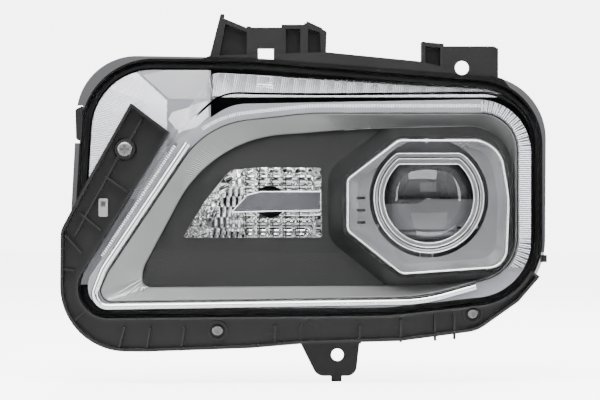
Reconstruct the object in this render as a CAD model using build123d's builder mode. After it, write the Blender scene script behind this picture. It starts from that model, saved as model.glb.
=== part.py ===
"""Left-hand car headlight assembly, in millimetres.

Frame: +Z up, the lens faces -Y, +X is the outboard side. The origin is the centre of the lower
fixing tab's bolt hole, on the tab's front face.
"""

from build123d import *
from math import asin, degrees, radians, tan
import os

os.makedirs("parts", exist_ok=True)

# ---------------------------------------------------------------- driving dimensions
# Overall outline of the clear lens: X, Z and corner radius of each corner, lower left first.
LENS_LEFT = -183.5
LENS_RIGHT = 139.0
LENS_BOTTOM = 27.5
LENS_TOP = 204.0
LENS_CORNERS = [
    (LENS_LEFT, LENS_BOTTOM, 20),
    (-173.0, LENS_TOP, 46),
    (-60.0, 203.0, 300),
    (LENS_RIGHT, 186.5, 42),
    (LENS_RIGHT, 41.0, 45),
    (35.0, 29.5, 200),
]
# Sealing flange of the lens: it stands out past the housing's rim at the two upper corners.
FLANGE_CORNERS = [
    (LENS_LEFT - 1.5, LENS_BOTTOM, 20),
    (-175.5, LENS_TOP + 1.0, 36),
    (-60.0, 203.0, 300),
    (LENS_RIGHT + 1.5, 187.5, 38),
    (LENS_RIGHT + 0.5, 41.0, 45),
    (35.0, 29.5, 200),
]
# Raised front of the lens at its foot and at its front edge, same corner order.
STEP_FOOT = [
    (LENS_LEFT, LENS_BOTTOM, 20),
    (-179.5, 55.0, 12),
    (-116.0, 157.0, 14),
    (-90.0, 202.0, 6),
    (LENS_RIGHT, 187.5, 42),
    (LENS_RIGHT, 41.0, 45),
    (35.0, 29.5, 200),
]
STEP_FRONT = [
    (LENS_LEFT + 3, LENS_BOTTOM + 3, 18),
    (-176.0, 56.0, 12),
    (-113.0, 154.0, 25),
    (-75.0, 179.0, 40),
    (LENS_RIGHT - 1.5, 183.0, 40),
    (LENS_RIGHT - 1.5, 43.0, 43),
    (35.0, 31.5, 200),
]
# Ribbed trim frame: outer edge and inner edge.
TRIM_OUTER = [
    (-169.5, 38.0, 8),
    (-160.5, 59.0, 30),
    (-91.5, 162.0, 60),
    (-20.0, 170.0, 150),
    (125.0, 170.0, 26),
    (125.0, 60.0, 30),
    (60.0, 41.5, 150),
]
TRIM_INNER = [
    (-137.5, 48.2, 6),
    (-136.0, 62.0, 15),
    (-88.3, 151.5, 90),
    (20.0, 159.5, 150),
    (121.5, 162.0, 30),
    (121.5, 56.0, 30),
    (60.0, 49.5, 150),
]
# Octagonal bezel round the projector.
OCTAGON = [
    (6.0, 88.0, 6),
    (6.0, 124.0, 6),
    (42.0, 151.3, 10),
    (112.0, 151.3, 22),
    (119.0, 110.0, 60),
    (117.0, 62.5, 14),
    (44.0, 57.5, 10),
]
# Window of the side reflector.
WINDOW = [
    (-109.0, 82.8, 1.5),
    (-93.5, 108.0, 20),
    (-76.0, 130.0, 10),
    (-55.0, 132.3, 8),
    (-11.5, 132.0, 1.5),
    (-10.9, 82.8, 1.5),
]
# Rear of the housing shell.
SHELL_REAR = [
    (-128.0, 42.0, 25),
    (-132.0, 168.0, 25),
    (-60.0, 176.0, 60),
    (124.0, 166.0, 30),
    (124.0, 52.0, 30),
    (30.0, 44.0, 60),
]

# Depths, measured along Y.
FRONT_Y = -62.0          # most forward point of the lens
LENS_BULGE_R = 700.0     # bow of the lens front, seen from above
LENS_WALL = 2.2
LOW_LENS_Y = -16.0       # outer face of the low corner of the lens
FLANGE_Y = -9.0          # front face of the lens flange
RIM_FRONT = -6.0
RIM_BACK = 8.0
SHELL_BACK = 105.0
SHELL_WALL = 2.5
GROOVE_INNER = 0.7
GROOVE_WIDTH = 3.2
GROOVE_DEPTH = 11.0
RIM_WALL = 1.4
TONGUE_GAP = 0.7         # sealant on each side of the tongue
TONGUE_WIDTH = GROOVE_WIDTH - 2 * TONGUE_GAP
SEALANT_DEPTH = 3.0
LUG_X = -179.4           # inner edge of the small lug on the inboard side

# Fixing tab and upper brackets.
TAB_THICK = 4.0
TAB_HOLE_D = 8.8
UPPER_HOLE_D = 9.8
UPPER_HOLE_X, UPPER_HOLE_Z = 87.8, 202.5
SQUARE_HOLE = 11.0
SQUARE_HOLE_X, SQUARE_HOLE_Z = -50.5, 212.0
BRACKET_Y = -2.0
WEB_BACK = 14.0

# Screws of the retainer bracket: two into the housing, one into the lens boss.
RAIL_SCREWS = [(-84.1, 17.9), (LENS_RIGHT - 44.5, 29.8)]
ARM_SCREW = (-148.7, 144.8)
RAIL_BOSS_R = 4.0
SCREW_R = 2.0

# Projector.
AXIS_X, AXIS_Z = 63.2, 110.7
LENS_R = 33.0
LENS_FACE_R = 45.0
LENS_EDGE_Y = -22.0
LENS_EDGE_THICK = 4.0
LENS_CUT = LENS_R - 5.5  # height of the flat on the lens above the axis
LENS_FLAT = LENS_CUT + 0.5
APERTURE_R = LENS_R - 2.0
APERTURE_FLAT = LENS_FLAT - 4.8
RING_MID_R = LENS_R + 2.2
RING_R = RING_MID_R + 3.3
BEZEL_CLEARANCE = 2.9
HOLDER_WALL = 2.0
FRAME_Y = 12.0           # front face of the shutter frame
FRAME_THICK = 3.0
BOWL_LENGTH = 58.0
BOWL_WALL = 1.5
BOWL_MOUTH_R = LENS_R + 1.0
BOWL_NECK_R = 11.5
SHUTTER_PIN_R = 1.5
SHUTTER_PIN_CLEARANCE = 0.06
SHUTTER_TUBE_WALL = 1.04
SHUTTER_DROP = 16.0
SHUTTER_THICK = 1.2

# Aim gear.
PIVOT_Z = 152.0
PIVOT_Y = 20.0
PIVOT_LEFT_X, PIVOT_RIGHT_X = 16.0, 110.0
BALL_R = 5.0
BALL_CLEARANCE = 0.3
ROD_X, ROD_Z = 1.0, 72.0
ROD_R = 3.0
CARRIER_THICK = 3.0

# Rear service openings.
PORT_R = 40.0
CAP_SKIRT = 12.0
CAP_WALL = 2.2
SIDE_PORT_R = 13.0
PORT_NECK_WALL = 3.0
VENTS = [(-100.0, 150.0), (100.0, 62.0)]
VENT_R = 3.5
CONNECTOR_X, CONNECTOR_Z = -95.0, 70.0
CONNECTOR_WIDTH, CONNECTOR_HEIGHT = 25.0, 12.0
SIDE_BULB_X, SIDE_BULB_Z = -48.0, 108.0
RUNNING_GAP = 0.3


def at(y):
    """Plane parallel to the lens front at depth y, its normal pointing forwards."""
    return Plane(origin=(0, y, 0), x_dir=(1, 0, 0), z_dir=(0, -1, 0))


def rounded(corners, grow=0.0):
    """Rounded closed outline through the corners, grown or shrunk by an even amount."""
    with BuildSketch() as shape:
        with BuildLine():
            FilletPolyline(
                *[(x, z) for x, z, r in corners], radius=[r for x, z, r in corners], close=True
            )
        make_face()
        if grow:
            offset(amount=grow)
    return shape.sketch


def ring(corners, outer, inner):
    """Band between two offsets of one outline."""
    with BuildSketch() as band:
        add(rounded(corners, outer))
        add(rounded(corners, inner), mode=Mode.SUBTRACT)
    return band.sketch


def finish(part, name):
    """Labels a finished piece and writes it."""
    part.part.label = name
    export_step(part.part, f"parts/{name}.step")


def pan_screw(x, z, head_y, head_r, head_h, shank_r, length):
    """Pan-head screw along Y with a cross recess, its head seated at head_y."""
    with BuildPart() as screw:
        with BuildSketch(at(head_y)):
            with Locations((x, z)):
                Circle(head_r)
        extrude(amount=head_h)
        fillet(screw.faces().sort_by(Axis.Y)[0].edges(), head_h * 0.6)
        with BuildSketch(at(head_y - head_h)):
            with Locations((x, z)):
                Rectangle(head_r * 1.1, head_r * 0.28)
                Rectangle(head_r * 0.28, head_r * 1.1)
        extrude(amount=-head_h * 0.6, mode=Mode.SUBTRACT)
        with BuildSketch(at(head_y)):
            with Locations((x, z)):
                Circle(shank_r)
        extrude(amount=-length)
    return screw.part


# ---------------------------------------------------------------- outer lens
def bulged(back_y, inset):
    """Block behind the bowed lens front, inset by the wall where asked."""
    with BuildPart() as block:
        with BuildSketch(Plane.XY):
            with BuildLine():
                nose = FRONT_Y + inset
                sag_left = (LENS_LEFT - 30) ** 2 / (2 * LENS_BULGE_R)
                sag_right = (LENS_RIGHT + 30) ** 2 / (2 * LENS_BULGE_R)
                bow = ThreePointArc(
                    (LENS_LEFT - 30, nose + sag_left), (0, nose), (LENS_RIGHT + 30, nose + sag_right)
                )
                Polyline(bow @ 1, (LENS_RIGHT + 30, back_y), (LENS_LEFT - 30, back_y), bow @ 0)
            make_face()
        extrude(amount=260)
    return block.part


def raised(inset):
    """Raised part of the lens as a solid, inset evenly on its sides and its bowed front."""
    with BuildPart() as step:
        with BuildSketch(at(FLANGE_Y + 3)):
            add(rounded(STEP_FOOT, -inset))
        with BuildSketch(at(FRONT_Y - 10)):
            add(rounded(STEP_FRONT, -inset))
        loft(ruled=True)
        add(bulged(0, inset), mode=Mode.INTERSECT)
    return step.part


with BuildPart() as outer_lens:
    add(raised(0))
    with BuildSketch(at(FLANGE_Y + 3)):
        add(rounded(LENS_CORNERS, 0.5))
    extrude(amount=FLANGE_Y + 3 - LOW_LENS_Y)
    with BuildSketch(at(FLANGE_Y + 3)):
        add(rounded(FLANGE_CORNERS, GROOVE_INNER + GROOVE_WIDTH + RIM_WALL + 1.0))
    extrude(amount=3)
    with BuildSketch(at(FLANGE_Y + 3)):
        add(rounded(LENS_CORNERS, -LENS_WALL))
    extrude(amount=FLANGE_Y + 3 - LOW_LENS_Y - LENS_WALL, mode=Mode.SUBTRACT)
    add(raised(LENS_WALL), mode=Mode.SUBTRACT)
    with BuildSketch(at(FLANGE_Y + 3)):
        add(ring(
            LENS_CORNERS, GROOVE_INNER + TONGUE_GAP + TONGUE_WIDTH, GROOVE_INNER + TONGUE_GAP
        ))
    extrude(amount=-(RIM_FRONT + GROOVE_DEPTH - SEALANT_DEPTH - FLANGE_Y - 3))
    # Boss for the arm screw, and notches that clear the rail bosses.
    with BuildSketch(at(LOW_LENS_Y + 0.5)):
        with Locations(ARM_SCREW):
            Circle(5.0)
    extrude(amount=6.5)
    with BuildSketch(at(LOW_LENS_Y)):
        with Locations(ARM_SCREW):
            Circle(SCREW_R)
    extrude(amount=6.5, mode=Mode.SUBTRACT)
    with BuildSketch(at(FLANGE_Y + 3)):
        with Locations(*RAIL_SCREWS):
            Circle(RAIL_BOSS_R + 0.2)
        with Locations((UPPER_HOLE_X, UPPER_HOLE_Z)):
            Circle(UPPER_HOLE_D / 2 + 0.7)
    extrude(amount=3.5, mode=Mode.SUBTRACT)
    # Notch for the housing's side lug.
    with BuildSketch(at(FLANGE_Y + 3)):
        with Locations((LUG_X - 9.7, 162.6)):
            Rectangle(20, 26.4)
    extrude(amount=3.5, mode=Mode.SUBTRACT)
finish(outer_lens, "outer_lens")

with BuildPart() as lens_sealant:
    with BuildSketch(at(RIM_FRONT + GROOVE_DEPTH)):
        add(ring(LENS_CORNERS, GROOVE_INNER + GROOVE_WIDTH, GROOVE_INNER))
    extrude(amount=SEALANT_DEPTH)
finish(lens_sealant, "lens_sealant")

# ---------------------------------------------------------------- housing
with BuildPart() as shell_void:
    with BuildSketch(at(RIM_BACK)):
        add(rounded(LENS_CORNERS, -1.3))
    with BuildSketch(at(SHELL_BACK - SHELL_WALL)):
        add(rounded(SHELL_REAR, -SHELL_WALL))
    loft(ruled=True)

with BuildPart() as housing:
    with BuildSketch(at(RIM_BACK)):
        add(rounded(LENS_CORNERS, GROOVE_INNER + 0.8))
    with BuildSketch(at(SHELL_BACK)):
        add(rounded(SHELL_REAR))
    loft(ruled=True)
    with BuildSketch(at(RIM_BACK)):
        add(rounded(LENS_CORNERS, GROOVE_INNER + GROOVE_WIDTH + RIM_WALL))
    extrude(amount=RIM_BACK - RIM_FRONT)
    # Fixing tab below the lens.
    with BuildSketch(at(TAB_THICK)):
        with BuildLine():
            FilletPolyline(
                (-28.0, 12.0), (-14.5, -14.9), (-4.4, -14.9), (-4.4, -18.8), (3.0, -18.8),
                (3.0, -14.9), (13.0, -14.9), (16.0, 12.0), (16.0, 30.0), (-28.0, 30.0),
                radius=[0.5, 8, 0.5, 0.5, 0.5, 0.5, 7, 0.5, 0.5, 0.5], close=True,
            )
        make_face()
    extrude(amount=TAB_THICK)
    with BuildSketch(at(RIM_BACK)):
        with BuildLine():
            Polyline((-26.0, 9.0), (15.0, 9.0), (15.0, 30.0), (-26.0, 30.0), close=True)
        make_face()
    extrude(amount=RIM_BACK - RIM_FRONT)
    # Rail above the lens with the two upper brackets' feet.
    with BuildSketch(at(RIM_BACK)):
        with BuildLine():
            Polyline(
                (-108.0, 203.0), (-90.0, 211.0), (-8.0, 213.5), (57.6, 207.0), (75.0, 203.0),
                (116.0, 195.0), (128.0, 180.0), close=True,
            )
        make_face()
    extrude(amount=RIM_BACK - RIM_FRONT)
    # Room round the upper right bolt hole, which its plate then closes.
    with BuildSketch(at(RIM_BACK)):
        with Locations((UPPER_HOLE_X, UPPER_HOLE_Z)):
            Circle(UPPER_HOLE_D / 2 + 0.7)
    extrude(amount=RIM_BACK - RIM_FRONT, mode=Mode.SUBTRACT)
    # Upper left bracket: centre plate and four posts that reach back.
    with BuildSketch(at(BRACKET_Y + 3)):
        with BuildLine():
            Polyline((-63.0, 207.0), (-63.0, 231.0), (-38.0, 231.0), (-38.0, 207.0), close=True)
        make_face()
    extrude(amount=3)
    for post in (
        [(-90.0, 207.0), (-90.0, 211.0), (-82.5, 240.5), (-80.0, 240.5), (-87.0, 207.0)],
        [(-87.5, 207.0), (-81.3, 238.0), (-61.9, 230.0), (-61.9, 227.0), (-79.0, 233.5), (-84.0, 207.0)],
        [(-64.0, 207.0), (-64.0, 231.8), (-61.0, 231.8), (-61.0, 207.0)],
        [(-39.5, 207.0), (-39.5, 232.5), (-36.5, 232.5), (-36.5, 207.0)],
        [(-39.5, 230.0), (-39.5, 233.0), (-23.2, 233.0), (-23.2, 230.0)],
        [(-26.2, 207.0), (-26.2, 233.0), (-23.2, 233.0), (-23.2, 207.0)],
        [(-23.5, 207.0), (-23.5, 234.0), (-20.8, 234.0), (-20.8, 207.0)],
        [(-23.5, 231.0), (-21.5, 235.5), (-10.6, 230.5), (-10.6, 227.0)],
        [(-11.5, 207.0), (-12.5, 231.0), (-7.5, 228.0), (-8.2, 207.0)],
    ):
        with BuildSketch(at(RIM_BACK + 14)):
            with BuildLine():
                Polyline(*post, close=True)
            make_face()
        extrude(amount=RIM_BACK + 14 - BRACKET_Y)
    # Rear webs that close the pockets between the posts of both brackets.
    for web in (
        [(-88.0, 206.0), (-81.5, 237.0), (-62.0, 229.0), (-62.0, 206.0)],
        [(-38.0, 206.0), (-38.0, 232.0), (-24.0, 232.0), (-24.0, 206.0)],
        [(-22.5, 206.0), (-22.0, 233.0), (-10.0, 228.0), (-10.0, 206.0)],
        [(60.0, 202.0), (60.0, 220.0), (74.0, 218.5), (74.0, 200.0)],
    ):
        with BuildSketch(at(WEB_BACK)):
            with BuildLine():
                Polyline(*web, close=True)
            make_face()
        extrude(amount=2.0)
    # Upper right bracket.
    with BuildSketch(at(BRACKET_Y + 3)):
        with BuildLine():
            FilletPolyline(
                (74.0, 190.0), (74.0, 217.8), (113.4, 217.8), (113.4, 190.0),
                radius=[0.5, 1, 4, 0.5], close=True,
            )
        make_face()
    extrude(amount=3)
    for post in (
        [(59.4, 203.0), (59.4, 221.0), (62.0, 221.0), (62.0, 203.0)],
        [(59.4, 218.0), (59.4, 221.0), (75.0, 219.5), (75.0, 216.5)],
        [(72.5, 200.0), (72.5, 219.5), (75.0, 219.5), (75.0, 200.0)],
        [(102.7, 193.0), (102.7, 217.8), (105.2, 217.8), (105.2, 193.0)],
        [(75.0, 215.5), (75.0, 217.8), (110.0, 217.8), (110.0, 215.5)],
        [(110.9, 192.0), (110.9, 216.5), (113.4, 216.5), (113.4, 192.0)],
    ):
        with BuildSketch(at(RIM_BACK + 10)):
            with BuildLine():
                Polyline(*post, close=True)
            make_face()
        extrude(amount=RIM_BACK + 10 - BRACKET_Y)
    # Side lug and nib.
    with BuildSketch(at(RIM_BACK)):
        with BuildLine():
            FilletPolyline(
                (LUG_X, 150.0), (LUG_X - 4.5, 152.0), (LUG_X - 5.0, 173.0), (LUG_X, 175.5),
                radius=[0.5, 2, 2, 0.5], close=True,
            )
        make_face()
    extrude(amount=RIM_BACK - FLANGE_Y + 0.5)
    with BuildSketch(at(RIM_BACK)):
        with Locations((LENS_RIGHT + 6.5, 68.0)):
            Rectangle(4, 5)
    extrude(amount=RIM_BACK - RIM_FRONT)
    # Bosses for the retainer screws.
    for screw_x, screw_z in RAIL_SCREWS:
        with BuildSketch(at(RIM_BACK + 6)):
            with Locations((screw_x, screw_z)):
                Circle(6.0)
            with Locations((screw_x, screw_z + 5)):
                Rectangle(12, 10)
        extrude(amount=RIM_BACK + 6 - RIM_FRONT)
    add(shell_void.part, mode=Mode.SUBTRACT)
    with BuildSketch(at(RIM_BACK + 1)):
        add(rounded(LENS_CORNERS, -1.3))
    extrude(amount=RIM_BACK + 1 - RIM_FRONT + 6, mode=Mode.SUBTRACT)
    with BuildSketch(at(RIM_FRONT + GROOVE_DEPTH)):
        add(ring(LENS_CORNERS, GROOVE_INNER + GROOVE_WIDTH, GROOVE_INNER))
    extrude(amount=GROOVE_DEPTH + 6, mode=Mode.SUBTRACT)
    # Holes of the fixing points.
    with BuildSketch(at(RIM_BACK + 30)):
        Circle(TAB_HOLE_D / 2)
        with Locations((UPPER_HOLE_X, UPPER_HOLE_Z)):
            Circle(UPPER_HOLE_D / 2)
        with Locations((SQUARE_HOLE_X, SQUARE_HOLE_Z)):
            Rectangle(SQUARE_HOLE, SQUARE_HOLE * 0.72)
    extrude(amount=60, mode=Mode.SUBTRACT)
    # Pilot holes of the retainer screws.
    with BuildSketch(at(RIM_BACK + 4)):
        with Locations(*RAIL_SCREWS):
            Circle(SCREW_R)
    extrude(amount=RIM_BACK + 4 - RIM_FRONT, mode=Mode.SUBTRACT)
    # Necks of the service ports on the back.
    with BuildSketch(at(SHELL_BACK + CAP_SKIRT)):
        with Locations((AXIS_X, AXIS_Z)):
            Circle(PORT_R + PORT_NECK_WALL)
        with Locations((SIDE_BULB_X, SIDE_BULB_Z)):
            Circle(SIDE_PORT_R + PORT_NECK_WALL)
    extrude(amount=CAP_SKIRT + SHELL_WALL)
    with BuildSketch(at(SHELL_BACK + CAP_SKIRT)):
        with Locations((AXIS_X, AXIS_Z)):
            Circle(PORT_R)
        with Locations((SIDE_BULB_X, SIDE_BULB_Z)):
            Circle(SIDE_PORT_R)
    extrude(amount=CAP_SKIRT + SHELL_WALL + 5, mode=Mode.SUBTRACT)
    # Rod hole, vent stubs' holes and connector window.
    with BuildSketch(at(SHELL_BACK)):
        with Locations((ROD_X, ROD_Z)):
            Circle(ROD_R + 1.5)
        with Locations(*VENTS):
            Circle(VENT_R)
        with Locations((CONNECTOR_X, CONNECTOR_Z)):
            Rectangle(CONNECTOR_WIDTH + 1, CONNECTOR_HEIGHT + 1)
    extrude(amount=SHELL_WALL + 2, mode=Mode.SUBTRACT)
finish(housing, "housing")

# ---------------------------------------------------------------- retainer bracket
BRACKET_OUTLINE = [
    (-144.4, 177.0, 1),
    (-110.0, 151.0, 1),
    (-100.0, 100.0, 5),
    (0.0, 60.0, 5),
    (128.6, 64.0, 1),
    (141.0, 56.0, 1),
    (126.0, 38.5, 10),
    (97.0, 18.0, 25),
    (44.0, 11.0, 40),
    (-26.0, 9.0, 20),
    (-61.0, 6.0, 20),
    (-134.0, 3.5, 60),
    (-194.0, 4.0, 46),
    (-193.3, 88.0, 14),
    (-173.0, 126.0, 3),
]
BRACKET_FLOOR = LOW_LENS_Y - 0.3
BRACKET_FLOOR_THICK = 2.0
BRACKET_FRONT = -31.0
BRACKET_WALL = 2.0
ARM_SEAT_Y = -27.0
RAIL_SEAT_Y = -20.0


def bracket_area(inset):
    """Front view of the bracket, shrunk evenly, clear of the raised part of the lens."""
    with BuildSketch() as area:
        add(rounded(BRACKET_OUTLINE, -inset))
        add(rounded(STEP_FOOT, 0.8 + inset), mode=Mode.SUBTRACT)
    return area.sketch.faces().sort_by(SortBy.AREA)[-1]


BRACKET_RIBS = [
    ((-163.0, 126.0), (-147.0, 115.0)),
    ((-180.0, 100.0), (-165.0, 87.6)),
    ((-190.5, 85.0), (-179.0, 72.0)),
    ((-192.0, 61.0), (-184.0, 60.0)),
    ((-152.0, 142.0), (-184.0, 84.0)),
    ((-148.7, 144.8), (-137.0, 166.0)),
    ((-184.0, 25.0), (-176.0, 32.0)),
    ((-153.0, 6.0), (-149.0, 20.0)),
    ((-134.0, 4.0), (-131.0, 20.0)),
    ((-110.0, 4.0), (-107.0, 20.0)),
    ((-44.0, 8.0), (-44.0, 22.0)),
    ((-26.0, 9.0), (-26.0, 22.0)),
    ((15.5, 9.0), (15.5, 22.0)),
    ((44.0, 10.0), (44.0, 26.0)),
    ((68.0, 11.0), (68.0, 30.0)),
    ((81.5, 12.0), (81.5, 32.0)),
]

with BuildPart() as retainer_bracket:
    with BuildSketch(at(BRACKET_FLOOR)):
        add(bracket_area(0))
    extrude(amount=BRACKET_FLOOR - BRACKET_FRONT)
    with BuildSketch(at(BRACKET_FLOOR - BRACKET_FLOOR_THICK)):
        add(bracket_area(BRACKET_WALL))
    extrude(amount=20, mode=Mode.SUBTRACT)
    for rib_start, rib_end in BRACKET_RIBS:
        with BuildSketch(at(BRACKET_FLOOR - 1)):
            with BuildLine():
                rib_line = Line(rib_start, rib_end)
            trace(rib_line, 1.6)
        extrude(amount=9)
    # Bosses: the arm boss slips over the lens boss, the rail bosses stand on the housing.
    with BuildSketch(at(BRACKET_FLOOR)):
        with Locations(ARM_SCREW):
            Circle(8.5)
    extrude(amount=BRACKET_FLOOR - ARM_SEAT_Y, taper=8)
    with BuildSketch(at(RIM_FRONT)):
        with Locations(*RAIL_SCREWS):
            Circle(RAIL_BOSS_R)
    extrude(amount=RIM_FRONT - RAIL_SEAT_Y)
    with BuildSketch(at(BRACKET_FLOOR - BRACKET_FLOOR_THICK)):
        with Locations(*RAIL_SCREWS):
            Circle(7.0)
            Circle(5.6, mode=Mode.SUBTRACT)
    extrude(amount=4)
    add(bulged(0, 0), mode=Mode.INTERSECT)
    with BuildSketch(at(BRACKET_FLOOR)):
        with Locations(ARM_SCREW):
            Circle(5.3)
    extrude(amount=6.3, mode=Mode.SUBTRACT)
    with BuildSketch(at(RIM_FRONT)):
        with Locations(ARM_SCREW, *RAIL_SCREWS):
            Circle(SCREW_R + 0.2)
    extrude(amount=60, mode=Mode.SUBTRACT)
    with BuildSketch(at(BRACKET_FLOOR + 0.2)):
        add(rounded(STEP_FOOT, 0.6))
    extrude(amount=40, mode=Mode.SUBTRACT)
    with BuildSketch(at(RAIL_SEAT_Y)):
        with Locations(*RAIL_SCREWS):
            Circle(4.5)
    extrude(amount=20, mode=Mode.SUBTRACT)
finish(retainer_bracket, "retainer_bracket")

with BuildPart() as bracket_screws:
    add(pan_screw(*ARM_SCREW, ARM_SEAT_Y, 5.5, 3.2, SCREW_R - 0.02, 10.0))
    for screw_x, screw_z in RAIL_SCREWS:
        add(pan_screw(screw_x, screw_z, RAIL_SEAT_Y, 4.2, 2.6, SCREW_R - 0.02, 20.0))
finish(bracket_screws, "bracket_screws")

with BuildPart() as bracket_clip:
    with BuildSketch(at(BRACKET_FLOOR - BRACKET_FLOOR_THICK)):
        with Locations((-164.0, 104.0)):
            RectangleRounded(6.4, 12.8, 1.0)
    extrude(amount=5.0)
    with BuildSketch(at(BRACKET_FLOOR - BRACKET_FLOOR_THICK - 5.0)):
        with Locations((-164.0, 106.5)):
            Rectangle(3.4, 4.0)
    extrude(amount=-3.0, mode=Mode.SUBTRACT)
finish(bracket_clip, "bracket_clip")

# ---------------------------------------------------------------- inner trims
FRAME_GAP = 0.6          # gap between the lens wall and the trims inside it
CARRIER_FRONT = -30.0
CARRIER_PLATE = 3.0
CARRIER_BACK = -13.0
CARRIER_EDGE = LENS_WALL + FRAME_GAP
TRIM_LIP = 0.3
BAR_R = 2.6
TRIM_FRONT = -32.0
TRIM_BACK = -22.0
TRIM_THICK = 2.0
PANEL_Y = TRIM_BACK + TRIM_THICK + 0.4
PANEL_THICK = 2.4

with BuildPart() as light_guide_carrier:
    with BuildSketch(at(CARRIER_FRONT + CARRIER_PLATE)):
        add(rounded(STEP_FRONT, -CARRIER_EDGE))
        add(rounded(TRIM_OUTER, TRIM_LIP), mode=Mode.SUBTRACT)
    extrude(amount=CARRIER_PLATE)
    with BuildSketch(at(CARRIER_BACK)):
        add(ring(STEP_FRONT, -CARRIER_EDGE, -CARRIER_EDGE - 1.6))
    extrude(amount=CARRIER_BACK - CARRIER_FRONT - CARRIER_PLATE + 0.5)
finish(light_guide_carrier, "light_guide_carrier")

# The bar lies along the trim's outer edge: down the slant, round the corner, along the bottom.
BAR_PATH = [(-104.5, 148.4), (-163.3, 60.8), (-173.2, 34.8), (60.0, 38.6), (96.0, 49.0)]
with BuildPart() as light_bar:
    with BuildLine(at(CARRIER_FRONT - BAR_R - 0.05)) as bar_route:
        FilletPolyline(*BAR_PATH, radius=[30, 9, 120])
    with BuildSketch(Plane(origin=bar_route.line @ 0, z_dir=bar_route.line % 0)):
        Circle(BAR_R)
    sweep()
finish(light_bar, "light_bar")

with BuildPart() as prism_strip:
    with BuildSketch(at(CARRIER_FRONT)):
        with BuildLine():
            strip_line = Line((-112.2, 149.0), (-164.0, 70.5))
        trace(strip_line, 2.4)
    extrude(amount=3.0)
finish(prism_strip, "prism_strip")

with BuildPart() as outboard_light_guide:
    with BuildSketch(at(CARRIER_FRONT)):
        add(rounded(STEP_FRONT, -CARRIER_EDGE - 0.3))
        add(rounded(TRIM_OUTER, 1.0), mode=Mode.SUBTRACT)
        with Locations((-100.0, 100.0)):
            Rectangle(400, 400, mode=Mode.SUBTRACT)
        with Locations((118.0, 20.0)):
            Rectangle(60, 84, mode=Mode.SUBTRACT)
    extrude(amount=4.0)
finish(outboard_light_guide, "outboard_light_guide")

with BuildPart() as ribbed_trim:
    with BuildSketch(at(TRIM_FRONT + TRIM_THICK)):
        add(rounded(TRIM_OUTER))
    with BuildSketch(at(TRIM_BACK + TRIM_THICK)):
        add(rounded(TRIM_INNER))
    loft(ruled=True)
    with BuildSketch(at(TRIM_FRONT + TRIM_THICK)):
        add(rounded(TRIM_OUTER))
    extrude(amount=TRIM_THICK)
    with BuildPart(mode=Mode.PRIVATE) as trim_dish:
        with BuildSketch(at(TRIM_FRONT)):
            add(rounded(TRIM_OUTER, -1.2))
        with BuildSketch(at(TRIM_BACK)):
            add(rounded(TRIM_INNER))
        loft(ruled=True)
    add(trim_dish.part, mode=Mode.SUBTRACT)
    with BuildSketch(at(TRIM_BACK + TRIM_THICK)):
        add(rounded(TRIM_INNER))
    extrude(amount=TRIM_THICK + 0.5, mode=Mode.SUBTRACT)
finish(ribbed_trim, "ribbed_trim")

FLUTE_TOP_Y, FLUTE_LOW_Y = -5.0, -27.0
with BuildPart() as upper_fluted_trim:
    with BuildSketch(at(0)):
        add(rounded(STEP_FOOT, -LENS_WALL - FRAME_GAP))
        with Locations((0.0, 81.0)):
            Rectangle(500, 200, mode=Mode.SUBTRACT)
        with Locations((-187.0, 200.0)):
            Rectangle(200, 200, mode=Mode.SUBTRACT)
    extrude(amount=60)
    with BuildSketch(Plane.YZ.offset(-200)):
        with BuildLine():
            Polyline(
                (FLUTE_TOP_Y, 201.0), (FLUTE_TOP_Y - 1.6, 201.0), (FLUTE_LOW_Y - 1.6, 181.0),
                (FLUTE_LOW_Y, 181.0), close=True,
            )
        make_face()
    extrude(amount=400, mode=Mode.INTERSECT)
    add(raised(LENS_WALL + FRAME_GAP), mode=Mode.INTERSECT)
finish(upper_fluted_trim, "upper_fluted_trim")

CORNER_TRIM_Y = LOW_LENS_Y + LENS_WALL + 1.2
CORNER_TRIM_EDGE = -89.0
with BuildPart() as corner_trim:
    with BuildSketch(at(CORNER_TRIM_Y + 1.8)):
        add(rounded(LENS_CORNERS, -LENS_WALL - 0.8))
        add(rounded(STEP_FRONT, -CARRIER_EDGE - 4.0), mode=Mode.SUBTRACT)
        with Locations((CORNER_TRIM_EDGE + 200.0, 100.0), (0.0, -150.0)):
            Rectangle(400, 400, mode=Mode.SUBTRACT)
    extrude(amount=1.8)
finish(corner_trim, "corner_trim")

# Black panel: plate, window tunnel, and the flare that rises to the octagonal bezel.
BEZEL_FRONT = -42.0
BEZEL_THICK = 2.5
FLARE_GAP = 0.8
FLARE_WALL = 2.0


def flare(grow):
    """Solid under the flare, grown evenly."""
    with BuildPart() as cone:
        with BuildSketch(at(PANEL_Y + PANEL_THICK)):
            add(rounded(OCTAGON, 12.0 + grow))
        with BuildSketch(at(BEZEL_FRONT + 4)):
            add(rounded(OCTAGON, FLARE_GAP + grow))
        loft(ruled=True)
    return cone.part


with BuildPart() as bezel_panel:
    with BuildSketch(at(PANEL_Y + PANEL_THICK)):
        add(rounded(TRIM_INNER, -0.4))
    extrude(amount=PANEL_THICK)
    add(flare(FLARE_WALL))
    with BuildSketch(at(PANEL_Y + PANEL_THICK + 12)):
        add(rounded(WINDOW, 2.0))
    extrude(amount=12.5)
    with BuildSketch(at(30)):
        add(rounded(TRIM_INNER, -0.4))
    extrude(amount=90, mode=Mode.INTERSECT)
    add(flare(0), mode=Mode.SUBTRACT)
    with BuildSketch(at(PANEL_Y + PANEL_THICK + 12)):
        add(rounded(WINDOW))
    extrude(amount=30, mode=Mode.SUBTRACT)
finish(bezel_panel, "bezel_panel")


def octagon_about_axis(share, grow=0.0):
    """The octagon drawn in towards the projector axis."""
    corners = [
        (AXIS_X + (x - AXIS_X) * share, AXIS_Z + (z - AXIS_Z) * share, r * share)
        for x, z, r in OCTAGON
    ]
    return rounded(corners, grow)


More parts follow.
